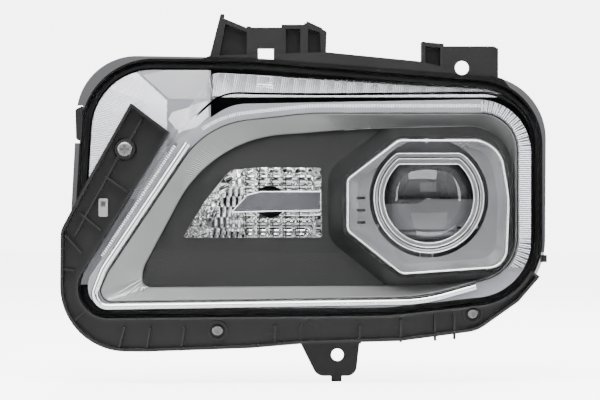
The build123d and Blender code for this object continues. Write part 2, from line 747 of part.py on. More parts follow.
with BuildPart() as projector_bezel:
    with BuildSketch(at(BEZEL_FRONT + 8)):
        add(rounded(OCTAGON))
    extrude(amount=8)
    fillet(projector_bezel.faces().sort_by(Axis.Y)[0].edges(), 0.8)
    with BuildPart(mode=Mode.PRIVATE) as bezel_dish:
        with BuildSketch(at(BEZEL_FRONT)):
            add(octagon_about_axis(0.95))
        with BuildSketch(at(BEZEL_FRONT + 5.5)):
            add(octagon_about_axis(0.86))
        loft(ruled=True)
    add(bezel_dish.part, mode=Mode.SUBTRACT)
    with BuildSketch(at(PANEL_Y + PANEL_THICK)):
        add(ring(OCTAGON, 0, -2.0))
    extrude(amount=PANEL_Y + PANEL_THICK - BEZEL_FRONT - 8)
    with BuildSketch(at(0)):
        with Locations((AXIS_X, AXIS_Z)):
            Circle(RING_R + BEZEL_CLEARANCE)
    extrude(amount=60, mode=Mode.SUBTRACT)
    with BuildSketch(at(BEZEL_FRONT + 8)):
        for slot in range(3):
            with Locations((16.0, AXIS_Z - 8.5 * slot)):
                Rectangle(6.0, 1.8)
    extrude(amount=10, mode=Mode.SUBTRACT)
finish(projector_bezel, "projector_bezel")

BOARD_X, BOARD_Z = 112.5, 76.0
BOARD_Y = -10.0          # rear face of the board
BOARD_WIDTH, BOARD_HEIGHT = 15.0, 34.0
BOARD_THICK = 1.6
BOARD_SCREW_R = 1.4
BOARD_SCREWS = [(BOARD_X, BOARD_Z - 12.0), (BOARD_X, BOARD_Z + 12.0)]
with BuildPart() as drl_board:
    with BuildSketch(at(BOARD_Y)):
        with Locations((BOARD_X, BOARD_Z)):
            RectangleRounded(BOARD_WIDTH, BOARD_HEIGHT, 1.5)
        with Locations(*BOARD_SCREWS):
            Circle(1.6, mode=Mode.SUBTRACT)
    extrude(amount=BOARD_THICK)
    with BuildSketch(at(BOARD_Y - BOARD_THICK)):
        with GridLocations(0, 5, 1, 3):
            with Locations((BOARD_X, BOARD_Z)):
                Rectangle(3, 3)
    extrude(amount=0.8)
finish(drl_board, "drl_board")

with BuildPart() as drl_heat_sink:
    with BuildSketch(at(BOARD_Y + 2.0)):
        with Locations((BOARD_X, BOARD_Z)):
            Rectangle(BOARD_WIDTH, BOARD_HEIGHT)
    extrude(amount=2.0)
    with BuildSketch(at(BOARD_Y + 10.0)):
        with Locations((BOARD_X, BOARD_Z)):
            with GridLocations((BOARD_WIDTH - 1.4) / 4 - 0.05, 0, 5, 1):
                Rectangle(1.4, BOARD_HEIGHT)
    extrude(amount=8.0)
    with BuildSketch(at(BOARD_Y + 10.0)):
        with Locations(*BOARD_SCREWS):
            Circle(BOARD_SCREW_R)
    extrude(amount=12.0, mode=Mode.SUBTRACT)
finish(drl_heat_sink, "drl_heat_sink")

with BuildPart() as drl_screws:
    for screw_x, screw_z in BOARD_SCREWS:
        add(pan_screw(screw_x, screw_z, BOARD_Y - BOARD_THICK, 2.8, 1.8, BOARD_SCREW_R - 0.02, 8.0))
finish(drl_screws, "drl_screws")

# ---------------------------------------------------------------- projector
MERIDIAN = Plane(origin=(AXIS_X, 0, AXIS_Z), x_dir=(1, 0, 0), z_dir=(0, 0, 1))
AXIS_OF_LENS = Axis((AXIS_X, 0, AXIS_Z), (0, 1, 0))
LENS_SAG = LENS_FACE_R - (LENS_FACE_R**2 - LENS_R**2) ** 0.5
LENS_APEX_Y = LENS_EDGE_Y - LENS_SAG
LENS_BACK_Y = LENS_EDGE_Y + LENS_EDGE_THICK


def flat_disc(radius, flat):
    """Disc on the projector axis with its top cut off level."""
    with BuildSketch() as disc:
        with Locations((AXIS_X, AXIS_Z)):
            Circle(radius)
        with Locations((AXIS_X, AXIS_Z + flat + radius)):
            Rectangle(2 * radius, 2 * radius, mode=Mode.SUBTRACT)
    return disc.sketch


with BuildPart() as projector_lens:
    with BuildSketch(MERIDIAN):
        with BuildLine():
            front_arc = CenterArc(
                (0, LENS_APEX_Y + LENS_FACE_R), LENS_FACE_R, 270, degrees(asin(LENS_R / LENS_FACE_R))
            )
            Polyline(front_arc @ 1, (LENS_R, LENS_BACK_Y), (0, LENS_BACK_Y), (0, LENS_APEX_Y))
        make_face()
    revolve(axis=AXIS_OF_LENS)
    with BuildSketch(at(0)):
        with Locations((AXIS_X, AXIS_Z + LENS_CUT + 20)):
            Rectangle(3 * LENS_R, 40)
    extrude(amount=60, mode=Mode.SUBTRACT)
finish(projector_lens, "projector_lens")

RING_SEAT = -30.1        # back of the trim ring, just ahead of the lens face
RING_FRONT = -36.0
with BuildPart() as lens_trim_ring:
    with BuildSketch(at(RING_SEAT)):
        add(flat_disc(RING_MID_R, LENS_FLAT))
        add(flat_disc(APERTURE_R, APERTURE_FLAT), mode=Mode.SUBTRACT)
    extrude(amount=4.8)
    chamfer(lens_trim_ring.faces().sort_by(Axis.Y)[0].edges(), 1.2)
finish(lens_trim_ring, "lens_trim_ring")

TUBE_R = RING_R - 1.5
FLANGE_R = TUBE_R + 7.0
SCREW_CIRCLE = TUBE_R + 3.7
SCREW_HOLE_R = 1.6
LEVER_SLOT = 14.0        # height of the lever's way through the tube wall
LEVER_SLOT_Z = AXIS_Z - TUBE_R - 0.5
CROSSBAR_Z = LENS_CUT + 2.4
CROSSBAR_HEIGHT = 3.0
LEVER_WIDTH = 6.0
LEVER_WAY = LEVER_WIDTH + 4.0
with BuildPart() as lens_holder:
    with BuildSketch(MERIDIAN):
        with BuildLine():
            Polyline(
                (RING_MID_R + 0.4, RING_FRONT), (RING_R, RING_FRONT), (RING_R, -22.0), (TUBE_R, -18.0),
                (TUBE_R, FRAME_Y - 3), (FLANGE_R, FRAME_Y - 3), (FLANGE_R, FRAME_Y),
                (TUBE_R - HOLDER_WALL, FRAME_Y), (TUBE_R - HOLDER_WALL, LENS_BACK_Y + 2.5),
                (LENS_R - 3, LENS_BACK_Y + 2.5), (LENS_R - 3, LENS_BACK_Y + 0.1),
                (LENS_R + 0.2, LENS_BACK_Y + 0.1), (LENS_R + 0.2, RING_SEAT + 0.2),
                (RING_MID_R + 0.4, RING_SEAT + 0.2), close=True,
            )
        make_face()
    revolve(axis=AXIS_OF_LENS)
    fillet(lens_holder.faces().sort_by(Axis.Y)[0].edges(), 1.2)
    with BuildSketch(at(-18.0)):
        with Locations((AXIS_X, AXIS_Z + CROSSBAR_Z)):
            Rectangle(
                2 * (RING_R**2 - (CROSSBAR_Z + CROSSBAR_HEIGHT / 2) ** 2) ** 0.5, CROSSBAR_HEIGHT
            )
    extrude(amount=-18.0 - RING_FRONT)
    with BuildSketch(at(-18.0)):
        with Locations((AXIS_X, AXIS_Z + CROSSBAR_Z + CROSSBAR_HEIGHT / 2 + 20)):
            Rectangle(3 * LENS_R, 40)
    extrude(amount=20.0, mode=Mode.SUBTRACT)
    with BuildSketch(at(FRAME_Y)):
        with Locations((AXIS_X, AXIS_Z)):
            with PolarLocations(SCREW_CIRCLE, 3, start_angle=90):
                Circle(SCREW_HOLE_R)
        with Locations((AXIS_X, LEVER_SLOT_Z)):
            Rectangle(LEVER_WAY, LEVER_SLOT)
    extrude(amount=14, mode=Mode.SUBTRACT)
finish(lens_holder, "lens_holder")

PIN_Z = AXIS_Z - SHUTTER_DROP
PIN_Y = FRAME_Y - 5.0
PLUNGER_DROP = BOWL_MOUTH_R + BOWL_WALL + 5.5 - SHUTTER_DROP
LEVER_LENGTH = PLUNGER_DROP + 2.5
EAR_WIDTH = 2.4
EAR_HEIGHT = 7.0
EAR_REACH = ((TUBE_R - HOLDER_WALL) ** 2 - (SHUTTER_DROP + EAR_HEIGHT / 2) ** 2) ** 0.5
EAR_X = EAR_REACH - EAR_WIDTH / 2 - 0.4
SHUTTER_HALF = EAR_X - 3.0
PIN_PLANE = Plane.YZ.offset(AXIS_X - 40)
with BuildPart() as shutter_frame:
    with BuildSketch(at(FRAME_Y + FRAME_THICK)):
        with Locations((AXIS_X, AXIS_Z)):
            Circle(FLANGE_R)
            Circle(LENS_R - 3.0, mode=Mode.SUBTRACT)
            with PolarLocations(SCREW_CIRCLE, 3, start_angle=90):
                Circle(SCREW_HOLE_R, mode=Mode.SUBTRACT)
        with Locations((AXIS_X, AXIS_Z - FLANGE_R + 9.0)):
            Rectangle(LEVER_WAY, 24, mode=Mode.SUBTRACT)
    extrude(amount=FRAME_THICK)
    for side in (-1, 1):
        with BuildSketch(at(FRAME_Y + 1)):
            with Locations((AXIS_X + side * EAR_X, PIN_Z)):
                Rectangle(EAR_WIDTH, EAR_HEIGHT)
        extrude(amount=FRAME_Y + 1 - PIN_Y + 3.5)
    with BuildSketch(PIN_PLANE):
        with Locations((PIN_Y, PIN_Z)):
            Circle(SHUTTER_PIN_R)
    extrude(amount=80, mode=Mode.SUBTRACT)
finish(shutter_frame, "shutter_frame")

with BuildPart() as shutter_pin:
    with BuildSketch(Plane.YZ.offset(AXIS_X - EAR_X - EAR_WIDTH / 2)):
        with Locations((PIN_Y, PIN_Z)):
            Circle(SHUTTER_PIN_R)
    extrude(amount=2 * EAR_X + EAR_WIDTH)
finish(shutter_pin, "shutter_pin")

with BuildPart() as cutoff_shutter:
    with BuildSketch(at(PIN_Y + SHUTTER_THICK / 2)):
        with BuildLine():
            Polyline(
                (AXIS_X - SHUTTER_HALF, PIN_Z - 4), (AXIS_X - SHUTTER_HALF, AXIS_Z - 2.5),
                (AXIS_X - 3, AXIS_Z - 2.5), (AXIS_X, AXIS_Z - 0.5), (AXIS_X + SHUTTER_HALF, AXIS_Z - 0.5),
                (AXIS_X + SHUTTER_HALF, PIN_Z - 4), (AXIS_X + 12, PIN_Z - 8),
                (AXIS_X + LEVER_WIDTH / 2, PIN_Z - 12),
                (AXIS_X + LEVER_WIDTH / 2, PIN_Z - LEVER_LENGTH),
                (AXIS_X - LEVER_WIDTH / 2, PIN_Z - LEVER_LENGTH),
                (AXIS_X - LEVER_WIDTH / 2, PIN_Z - 12), (AXIS_X - 12, PIN_Z - 8), close=True,
            )
        make_face()
    extrude(amount=SHUTTER_THICK)
    with BuildSketch(Plane.YZ.offset(AXIS_X - SHUTTER_HALF)):
        with Locations((PIN_Y, PIN_Z)):
            Circle(SHUTTER_PIN_R + SHUTTER_PIN_CLEARANCE + SHUTTER_TUBE_WALL)
    extrude(amount=2 * SHUTTER_HALF - 12)
    with BuildSketch(PIN_PLANE):
        with Locations((PIN_Y, PIN_Z)):
            Circle(SHUTTER_PIN_R + SHUTTER_PIN_CLEARANCE)
    extrude(amount=80, mode=Mode.SUBTRACT)
    with BuildSketch(at(PIN_Y + 4)):
        with Locations((AXIS_X + SHUTTER_HALF - 5.5, PIN_Z)):
            Rectangle(11.0, 8.0)
    extrude(amount=8, mode=Mode.SUBTRACT)
finish(cutoff_shutter, "cutoff_shutter")

SPRING_WIRE_R = 0.5
SPRING_COIL_R = SHUTTER_PIN_R + 1.0
with BuildPart() as shutter_spring:
    with BuildLine():
        coil = Helix(
            pitch=1.6, height=8.0, radius=SPRING_COIL_R,
            center=(AXIS_X + SHUTTER_HALF - 10.0, PIN_Y, PIN_Z), direction=(1, 0, 0),
        )
    with BuildSketch(Plane(origin=coil @ 0, z_dir=coil % 0)):
        Circle(SPRING_WIRE_R)
    sweep(is_frenet=True)
finish(shutter_spring, "shutter_spring")

SOLENOID_Z = PIN_Z - PLUNGER_DROP
PLUNGER_R = 2.0
SOLENOID_WIDTH = 18.0
SOLENOID_FRONT = FRAME_Y + FRAME_THICK + CARRIER_THICK
with BuildPart() as solenoid:
    with BuildSketch(at(SOLENOID_FRONT + 26)):
        with Locations((AXIS_X, SOLENOID_Z - 3.5)):
            RectangleRounded(SOLENOID_WIDTH, 13, 1.5)
    extrude(amount=26)
    with BuildSketch(at(SOLENOID_FRONT + 12)):
        with Locations((AXIS_X, SOLENOID_Z)):
            Circle(PLUNGER_R + 0.2)
    extrude(amount=20, mode=Mode.SUBTRACT)
finish(solenoid, "solenoid")

with BuildPart() as solenoid_plunger:
    with BuildSketch(at(SOLENOID_FRONT + 11)):
        with Locations((AXIS_X, SOLENOID_Z)):
            Circle(PLUNGER_R)
    extrude(amount=SOLENOID_FRONT + 11 - PIN_Y - SHUTTER_THICK / 2 - 0.5)
finish(solenoid_plunger, "solenoid_plunger")

BOWL_Y = FRAME_Y + FRAME_THICK
BOWL_FLANGE_Y = BOWL_Y + CARRIER_THICK
NECK_Y = BOWL_Y + BOWL_LENGTH
NECK_END = NECK_Y + 7
with BuildPart() as projector_reflector:
    with BuildSketch(MERIDIAN):
        with BuildLine():
            inner = ThreePointArc(
                (BOWL_MOUTH_R, BOWL_Y), (BOWL_MOUTH_R - 7.0, BOWL_Y + 35), (BOWL_NECK_R, NECK_Y)
            )
            Polyline(
                inner @ 1, (BOWL_NECK_R, NECK_END), (BOWL_NECK_R + 2, NECK_END),
                (BOWL_NECK_R + 2, NECK_Y + 0.8),
            )
            outer = ThreePointArc(
                (BOWL_NECK_R + 2, NECK_Y + 0.8), (BOWL_MOUTH_R - 5.7, BOWL_Y + 36),
                (BOWL_MOUTH_R + BOWL_WALL, BOWL_FLANGE_Y + 2),
            )
            Polyline(
                outer @ 1, (FLANGE_R, BOWL_FLANGE_Y + 2), (FLANGE_R, BOWL_FLANGE_Y),
                (BOWL_MOUTH_R + BOWL_WALL, BOWL_FLANGE_Y), (BOWL_MOUTH_R + BOWL_WALL, BOWL_Y),
                (BOWL_MOUTH_R, BOWL_Y),
            )
        make_face()
    revolve(axis=AXIS_OF_LENS)
    with BuildSketch(at(BOWL_FLANGE_Y + 2)):
        with Locations((AXIS_X, AXIS_Z)):
            with PolarLocations(SCREW_CIRCLE, 3, start_angle=90):
                Circle(SCREW_HOLE_R)
        with Locations((AXIS_X, SOLENOID_Z - 1.5)):
            Rectangle(SOLENOID_WIDTH + 1, 12)
    extrude(amount=5, mode=Mode.SUBTRACT)
finish(projector_reflector, "projector_reflector")

with BuildPart() as projector_screws:
    with BuildSketch(at(BOWL_FLANGE_Y + 4.2)):
        with Locations((AXIS_X, AXIS_Z)):
            with PolarLocations(SCREW_CIRCLE, 3, start_angle=90):
                Circle(2.7)
    extrude(amount=2.2)
    with BuildSketch(at(BOWL_FLANGE_Y + 2)):
        with Locations((AXIS_X, AXIS_Z)):
            with PolarLocations(SCREW_CIRCLE, 3, start_angle=90):
                Circle(SCREW_HOLE_R - 0.1)
    extrude(amount=11)
finish(projector_screws, "projector_screws")

BASE_GAP = 0.2
with BuildPart() as bulb_base:
    with BuildSketch(at(NECK_END + BASE_GAP + 3.5)):
        with Locations((AXIS_X, AXIS_Z)):
            Circle(BOWL_NECK_R + 4.5)
    extrude(amount=3.5)
    with BuildSketch(at(NECK_END + BASE_GAP)):
        with Locations((AXIS_X, AXIS_Z)):
            Circle(BOWL_NECK_R - 2.5)
    extrude(amount=12.0)
    with BuildSketch(at(NECK_END + BASE_GAP + 16)):
        with Locations((AXIS_X, AXIS_Z)):
            RectangleRounded(14, 22, 2)
    extrude(amount=13)
    with BuildSketch(at(NECK_END + BASE_GAP + 16)):
        with Locations((AXIS_X, AXIS_Z)):
            RectangleRounded(10.5, 18.5, 1)
    extrude(amount=9, mode=Mode.SUBTRACT)
finish(bulb_base, "bulb_base")

with BuildPart() as bulb_seal:
    with BuildSketch(MERIDIAN):
        with Locations((BOWL_NECK_R - 1.35, NECK_END - 3)):
            Circle(1.1)
    revolve(axis=AXIS_OF_LENS)
finish(bulb_seal, "bulb_seal")

CAPSULE_Y = NECK_END + BASE_GAP - 12.0
with BuildPart() as low_beam_bulb:
    with BuildSketch(MERIDIAN):
        with BuildLine():
            tip = CenterArc((0, CAPSULE_Y - 22.0), 5.5, 270, 90)
            Polyline(tip @ 1, (5.5, CAPSULE_Y), (0, CAPSULE_Y), tip @ 0)
        make_face()
    revolve(axis=AXIS_OF_LENS)
finish(low_beam_bulb, "low_beam_bulb")

# ---------------------------------------------------------------- aim gear
SOCKET_R = BALL_R + 3.0
SOCKET_THROAT_R = ROD_R + 1.4
PLATE_EDGE = SOCKET_R + 3.0
with BuildPart() as aim_carrier:
    with BuildSketch(at(BOWL_FLANGE_Y)):
        with BuildLine():
            FilletPolyline(
                (PIVOT_LEFT_X - PLATE_EDGE, PIVOT_Z + PLATE_EDGE),
                (PIVOT_RIGHT_X + PLATE_EDGE, PIVOT_Z + PLATE_EDGE),
                (PIVOT_RIGHT_X + PLATE_EDGE, 74.0), (84.0, 62.0), (42.0, 62.0),
                (ROD_X + 6, ROD_Z - PLATE_EDGE), (ROD_X - PLATE_EDGE, ROD_Z - PLATE_EDGE),
                (ROD_X - PLATE_EDGE, ROD_Z + PLATE_EDGE), (PIVOT_LEFT_X - PLATE_EDGE, ROD_Z + 30),
                radius=4, close=True,
            )
        make_face()
        with Locations((AXIS_X, AXIS_Z)):
            Circle(BOWL_MOUTH_R + BOWL_WALL + 0.1, mode=Mode.SUBTRACT)
            with PolarLocations(SCREW_CIRCLE, 3, start_angle=90):
                Circle(SCREW_HOLE_R, mode=Mode.SUBTRACT)
        with Locations((PIVOT_LEFT_X, PIVOT_Z), (PIVOT_RIGHT_X, PIVOT_Z), (ROD_X, ROD_Z)):
            Circle(SOCKET_R, mode=Mode.SUBTRACT)
        with Locations((AXIS_X, LEVER_SLOT_Z)):
            Rectangle(LEVER_WAY - 2, LEVER_SLOT, mode=Mode.SUBTRACT)
    extrude(amount=CARRIER_THICK)
finish(aim_carrier, "aim_carrier")


def ball_socket(x, z):
    """Round socket that holds a ball and opens to the rear."""
    with BuildPart() as socket:
        with BuildSketch(at(PIVOT_Y + 8)):
            with Locations((x, z)):
                Circle(SOCKET_R)
        extrude(amount=16)
        with BuildSketch(Plane(origin=(x, 0, z), x_dir=(1, 0, 0), z_dir=(0, 0, 1))):
            with BuildLine():
                cup = CenterArc((0, PIVOT_Y), BALL_R + BALL_CLEARANCE, 270, 90)
                Polyline(
                    cup @ 1, (BALL_R + BALL_CLEARANCE, PIVOT_Y + 1.5),
                    (SOCKET_THROAT_R, PIVOT_Y + 4.2), (SOCKET_THROAT_R, PIVOT_Y + 9),
                    (0, PIVOT_Y + 9), cup @ 0,
                )
            make_face()
        revolve(axis=Axis((x, 0, z), (0, 1, 0)), mode=Mode.SUBTRACT)
    return socket.part


with BuildPart() as pivot_sockets:
    add(ball_socket(PIVOT_LEFT_X, PIVOT_Z))
    add(ball_socket(PIVOT_RIGHT_X, PIVOT_Z))
finish(pivot_sockets, "pivot_sockets")

with BuildPart() as rod_socket:
    add(ball_socket(ROD_X, ROD_Z))
finish(rod_socket, "rod_socket")


def ball_stud(x, z, end_y, stem_r):
    """Ball with a stem that runs back along Y."""
    with BuildPart() as stud:
        with Locations((x, PIVOT_Y, z)):
            Sphere(BALL_R)
        with BuildSketch(at(end_y)):
            with Locations((x, z)):
                Circle(stem_r)
        extrude(amount=end_y - PIVOT_Y)
    return stud.part


with BuildPart() as pivot_studs:
    add(ball_stud(PIVOT_LEFT_X, PIVOT_Z, SHELL_BACK - SHELL_WALL, ROD_R))
    add(ball_stud(PIVOT_RIGHT_X, PIVOT_Z, SHELL_BACK - SHELL_WALL, ROD_R))
finish(pivot_studs, "pivot_studs")

GEAR_Y = SHELL_BACK + 3.0
GEAR_THICK = 9.0
GEAR_R = 8.0
GEAR_TEETH = 16
PINION_TEETH = 10
PINION_R = 4.6
TOOTH_GAP_R = 0.7
ROD_TRAVEL = (PIVOT_Z - ROD_Z) * tan(radians(2.0))
ROD_END = GEAR_Y + GEAR_THICK + 2.0
with BuildPart() as aim_rod:
    add(ball_stud(ROD_X, ROD_Z, ROD_END, ROD_R))
    chamfer(aim_rod.faces().sort_by(Axis.Y)[-1].edges(), 0.6)
finish(aim_rod, "aim_rod")

with BuildPart() as adjuster_gear:
    with BuildSketch(at(GEAR_Y + GEAR_THICK)):
        with Locations((ROD_X, ROD_Z)):
            Circle(GEAR_R)
            Circle(ROD_R + 0.06, mode=Mode.SUBTRACT)
            with PolarLocations(GEAR_R, GEAR_TEETH):
                Circle(TOOTH_GAP_R, mode=Mode.SUBTRACT)
    extrude(amount=GEAR_THICK)
finish(adjuster_gear, "adjuster_gear")

SHAFT_Y = GEAR_Y + GEAR_THICK / 2
SHAFT_LOW = ROD_Z + GEAR_R + 0.5
SHAFT_R = 3.0
SHAFT_TOP = 158.0
SHAFT_PLANE = Plane.XY.offset(SHAFT_LOW)
with BuildPart() as adjuster_shaft:
    with BuildSketch(SHAFT_PLANE):
        with Locations((ROD_X, SHAFT_Y)):
            Circle(PINION_R)
            with PolarLocations(PINION_R, PINION_TEETH):
                Circle(TOOTH_GAP_R, mode=Mode.SUBTRACT)
    extrude(amount=5.0)
    with BuildSketch(SHAFT_PLANE):
        with Locations((ROD_X, SHAFT_Y)):
            Circle(SHAFT_R)
    extrude(amount=SHAFT_TOP - SHAFT_LOW)
    with BuildSketch(Plane.XY.offset(SHAFT_TOP)):
        with Locations((ROD_X, SHAFT_Y)):
            RegularPolygon(5.0, 6)
            Rectangle(5.0, 1.4, mode=Mode.SUBTRACT)
            Rectangle(1.4, 5.0, mode=Mode.SUBTRACT)
    extrude(amount=7.0)
finish(adjuster_shaft, "adjuster_shaft")

BOX_BACK = ROD_END + 2 * ROD_TRAVEL + 1.0
BOX_SCREWS = [(ROD_X - 9.3, ROD_Z - 11.5), (ROD_X + 9.3, ROD_Z - 11.5)]
with BuildPart() as adjuster_housing:
    with BuildSketch(at(BOX_BACK)):
        with BuildLine():
            FilletPolyline(
                (ROD_X - 12, ROD_Z - 15), (ROD_X + 12, ROD_Z - 15), (ROD_X + 12, ROD_Z + 17),
                (ROD_X + 6, ROD_Z + 24), (ROD_X - 6, ROD_Z + 24), (ROD_X - 12, ROD_Z + 17),
                radius=3, close=True,
            )
        make_face()
    extrude(amount=BOX_BACK - SHELL_BACK)
    with BuildSketch(at(GEAR_Y + GEAR_THICK + 0.5)):
        with Locations((ROD_X, ROD_Z)):
            Circle(GEAR_R + 0.5)
        with Locations((ROD_X, ROD_Z + 10.5)):
            Rectangle(13.6, 10.6)
    extrude(amount=GEAR_THICK + 1.0, mode=Mode.SUBTRACT)
    with BuildSketch(at(BOX_BACK - 2)):
        with Locations((ROD_X, ROD_Z)):
            Circle(ROD_R + 0.5)
    extrude(amount=60, mode=Mode.SUBTRACT)
    with BuildSketch(SHAFT_PLANE):
        with Locations((ROD_X, SHAFT_Y)):
            Circle(SHAFT_R + 0.3)
    extrude(amount=60, mode=Mode.SUBTRACT)
    with BuildSketch(at(BOX_BACK)):
        with Locations(*BOX_SCREWS):
            Circle(SCREW_HOLE_R)
    extrude(amount=60, mode=Mode.SUBTRACT)
finish(adjuster_housing, "adjuster_housing")

with BuildPart() as adjuster_screws:
    with BuildSketch(at(BOX_BACK + 2)):
        with Locations(*BOX_SCREWS):
            Circle(2.6)
    extrude(amount=2)
    with BuildSketch(at(BOX_BACK)):
        with Locations(*BOX_SCREWS):
            Circle(SCREW_HOLE_R - 0.1)
    extrude(amount=BOX_BACK - SHELL_BACK)
finish(adjuster_screws, "adjuster_screws")

# ---------------------------------------------------------------- side reflector
REFLECTOR_FRONT = PANEL_Y + PANEL_THICK + 12.3
REFLECTOR_BACK = 72.0
REFLECTOR_WALL = 1.6
HOLDER_R = SIDE_PORT_R - 2.4
SIDE_NECK_R = HOLDER_R + 0.7
REFLECTOR_REAR = [
    (SIDE_BULB_X - 30, SIDE_BULB_Z - 18, 4),
    (SIDE_BULB_X - 30, SIDE_BULB_Z - 2, 4),
    (SIDE_BULB_X - 27, SIDE_BULB_Z + 12, 4),
    (SIDE_BULB_X - 12, SIDE_BULB_Z + 18, 4),
    (SIDE_BULB_X + 22, SIDE_BULB_Z + 18, 4),
    (SIDE_BULB_X + 22, SIDE_BULB_Z - 18, 4),
]


def bowl(grow, back):
    """Tapering box from the window to the rear of the side reflector."""
    with BuildPart() as box:
        with BuildSketch(at(REFLECTOR_FRONT)):
            add(rounded(WINDOW, 0.4 + grow))
        with BuildSketch(at(back)):
            add(rounded(REFLECTOR_REAR, grow))
        loft(ruled=True)
    return box.part


with BuildPart() as side_reflector:
    add(bowl(REFLECTOR_WALL, REFLECTOR_BACK))
    add(bowl(0, REFLECTOR_BACK - REFLECTOR_WALL), mode=Mode.SUBTRACT)
    with BuildSketch(at(REFLECTOR_BACK + 10)):
        with Locations((SIDE_BULB_X, SIDE_BULB_Z)):
            Circle(SIDE_NECK_R + 1.7)
    extrude(amount=11)
    with BuildSketch(at(REFLECTOR_BACK + 10)):
        with Locations((SIDE_BULB_X, SIDE_BULB_Z)):
            Circle(SIDE_NECK_R)
    extrude(amount=15, mode=Mode.SUBTRACT)
finish(side_reflector, "side_reflector")

with BuildPart() as centre_bar:
    with BuildSketch(at(PANEL_Y + PANEL_THICK + 8)):
        with BuildLine():
            FilletPolyline(
                (-75.0, 100.5), (-63.5, 113.0), (-54.0, 115.4), (-11.4, 115.4), (-11.4, 102.0),
                (-70.0, 100.5), radius=[0.6, 4, 8, 0.5, 0.5, 1.0], close=True,
            )
        make_face()
    extrude(amount=9.0)
    fillet(centre_bar.faces().sort_by(Axis.Y)[0].edges(), 0.4)
finish(centre_bar, "centre_bar")

HOLDER_END = SHELL_BACK + CAP_SKIRT
with BuildPart() as side_bulb_holder:
    with BuildSketch(at(HOLDER_END + 0.3 + 3)):
        with Locations((SIDE_BULB_X, SIDE_BULB_Z)):
            Circle(SIDE_PORT_R + 4)
    extrude(amount=3)
    with BuildSketch(at(HOLDER_END + 0.3)):
        with Locations((SIDE_BULB_X, SIDE_BULB_Z)):
            Circle(HOLDER_R)
    extrude(amount=HOLDER_END - REFLECTOR_BACK - 4)
    with BuildSketch(at(HOLDER_END + 0.3 + 12)):
        with Locations((SIDE_BULB_X, SIDE_BULB_Z)):
            RectangleRounded(24, 11, 2)
    extrude(amount=9.5)
    with BuildSketch(at(HOLDER_END + 0.3 + 12)):
        with Locations((SIDE_BULB_X, SIDE_BULB_Z)):
            RectangleRounded(17, 7, 1)
    extrude(amount=8, mode=Mode.SUBTRACT)
finish(side_bulb_holder, "side_bulb_holder")

with BuildPart() as side_bulb_seal:
    with BuildSketch(at(HOLDER_END - 3)):
        with Locations((SIDE_BULB_X, SIDE_BULB_Z)):
            Circle(SIDE_PORT_R - 0.3)
            Circle(HOLDER_R, mode=Mode.SUBTRACT)
    extrude(amount=3.0)
finish(side_bulb_seal, "side_bulb_seal")

SIDE_MERIDIAN = Plane(origin=(SIDE_BULB_X, 0, SIDE_BULB_Z), x_dir=(1, 0, 0), z_dir=(0, 0, 1))
GLASS_END = REFLECTOR_BACK + 4.3
with BuildPart() as side_bulb:
    with BuildSketch(SIDE_MERIDIAN):
        with BuildLine():
            dome = CenterArc((0, GLASS_END - 24.0), 8.0, 270, 90)
            Polyline(dome @ 1, (8.0, GLASS_END - 6), (6.0, GLASS_END), (0, GLASS_END), dome @ 0)
        make_face()
    revolve(axis=Axis((SIDE_BULB_X, 0, SIDE_BULB_Z), (0, 1, 0)))
finish(side_bulb, "side_bulb")

# ---------------------------------------------------------------- rear service pieces
CAP_BORE = PORT_R + PORT_NECK_WALL + RUNNING_GAP
NECK_FACE = SHELL_BACK + CAP_SKIRT
GASKET_THICK = 1.5
with BuildPart() as rear_cap:
    with BuildSketch(at(NECK_FACE + GASKET_THICK + 0.1 + CAP_WALL)):
        with Locations((AXIS_X, AXIS_Z)):
            Circle(CAP_BORE + CAP_WALL)
    extrude(amount=GASKET_THICK + 0.1 + CAP_WALL + CAP_SKIRT - 1.0)
    fillet(rear_cap.faces().sort_by(Axis.Y)[-1].edges(), 1.5)
    with BuildSketch(at(NECK_FACE + GASKET_THICK + 0.1)):
        with Locations((AXIS_X, AXIS_Z)):
            Circle(CAP_BORE)
    extrude(amount=30, mode=Mode.SUBTRACT)
    with BuildSketch(at(NECK_FACE + GASKET_THICK + CAP_WALL + 9)):
        with Locations((AXIS_X, AXIS_Z)):
            SlotOverall(2 * PORT_R - 10, 9)
    extrude(amount=9.0)
    with BuildSketch(at(NECK_FACE + 1)):
        with Locations((AXIS_X, AXIS_Z)):
            with PolarLocations(CAP_BORE + CAP_WALL, 24):
                Rectangle(1.6, 3.0)
    extrude(amount=9.0)
    with BuildSketch(at(NECK_FACE + 2)):
        with Locations((AXIS_X, AXIS_Z)):
            Circle(CAP_BORE)
    extrude(amount=30, mode=Mode.SUBTRACT)
finish(rear_cap, "rear_cap")

with BuildPart() as rear_cap_gasket:
    with BuildSketch(at(NECK_FACE + GASKET_THICK + 0.1)):
        with Locations((AXIS_X, AXIS_Z)):
            Circle(CAP_BORE - 0.2)
            Circle(PORT_R + 0.5, mode=Mode.SUBTRACT)
    extrude(amount=GASKET_THICK)
finish(rear_cap_gasket, "rear_cap_gasket")

with BuildPart() as vent_elbows:
    for vent_x, vent_z in VENTS:
        with BuildLine():
            elbow = FilletPolyline(
                (vent_x, SHELL_BACK - 6, vent_z), (vent_x, SHELL_BACK + 10, vent_z),
                (vent_x, SHELL_BACK + 10, vent_z - 16), radius=6,
            )
        with BuildSketch(Plane(origin=elbow @ 0, z_dir=elbow % 0)):
            Circle(VENT_R)
            Circle(VENT_R - 1.7, mode=Mode.SUBTRACT)
        sweep()
finish(vent_elbows, "vent_elbows")

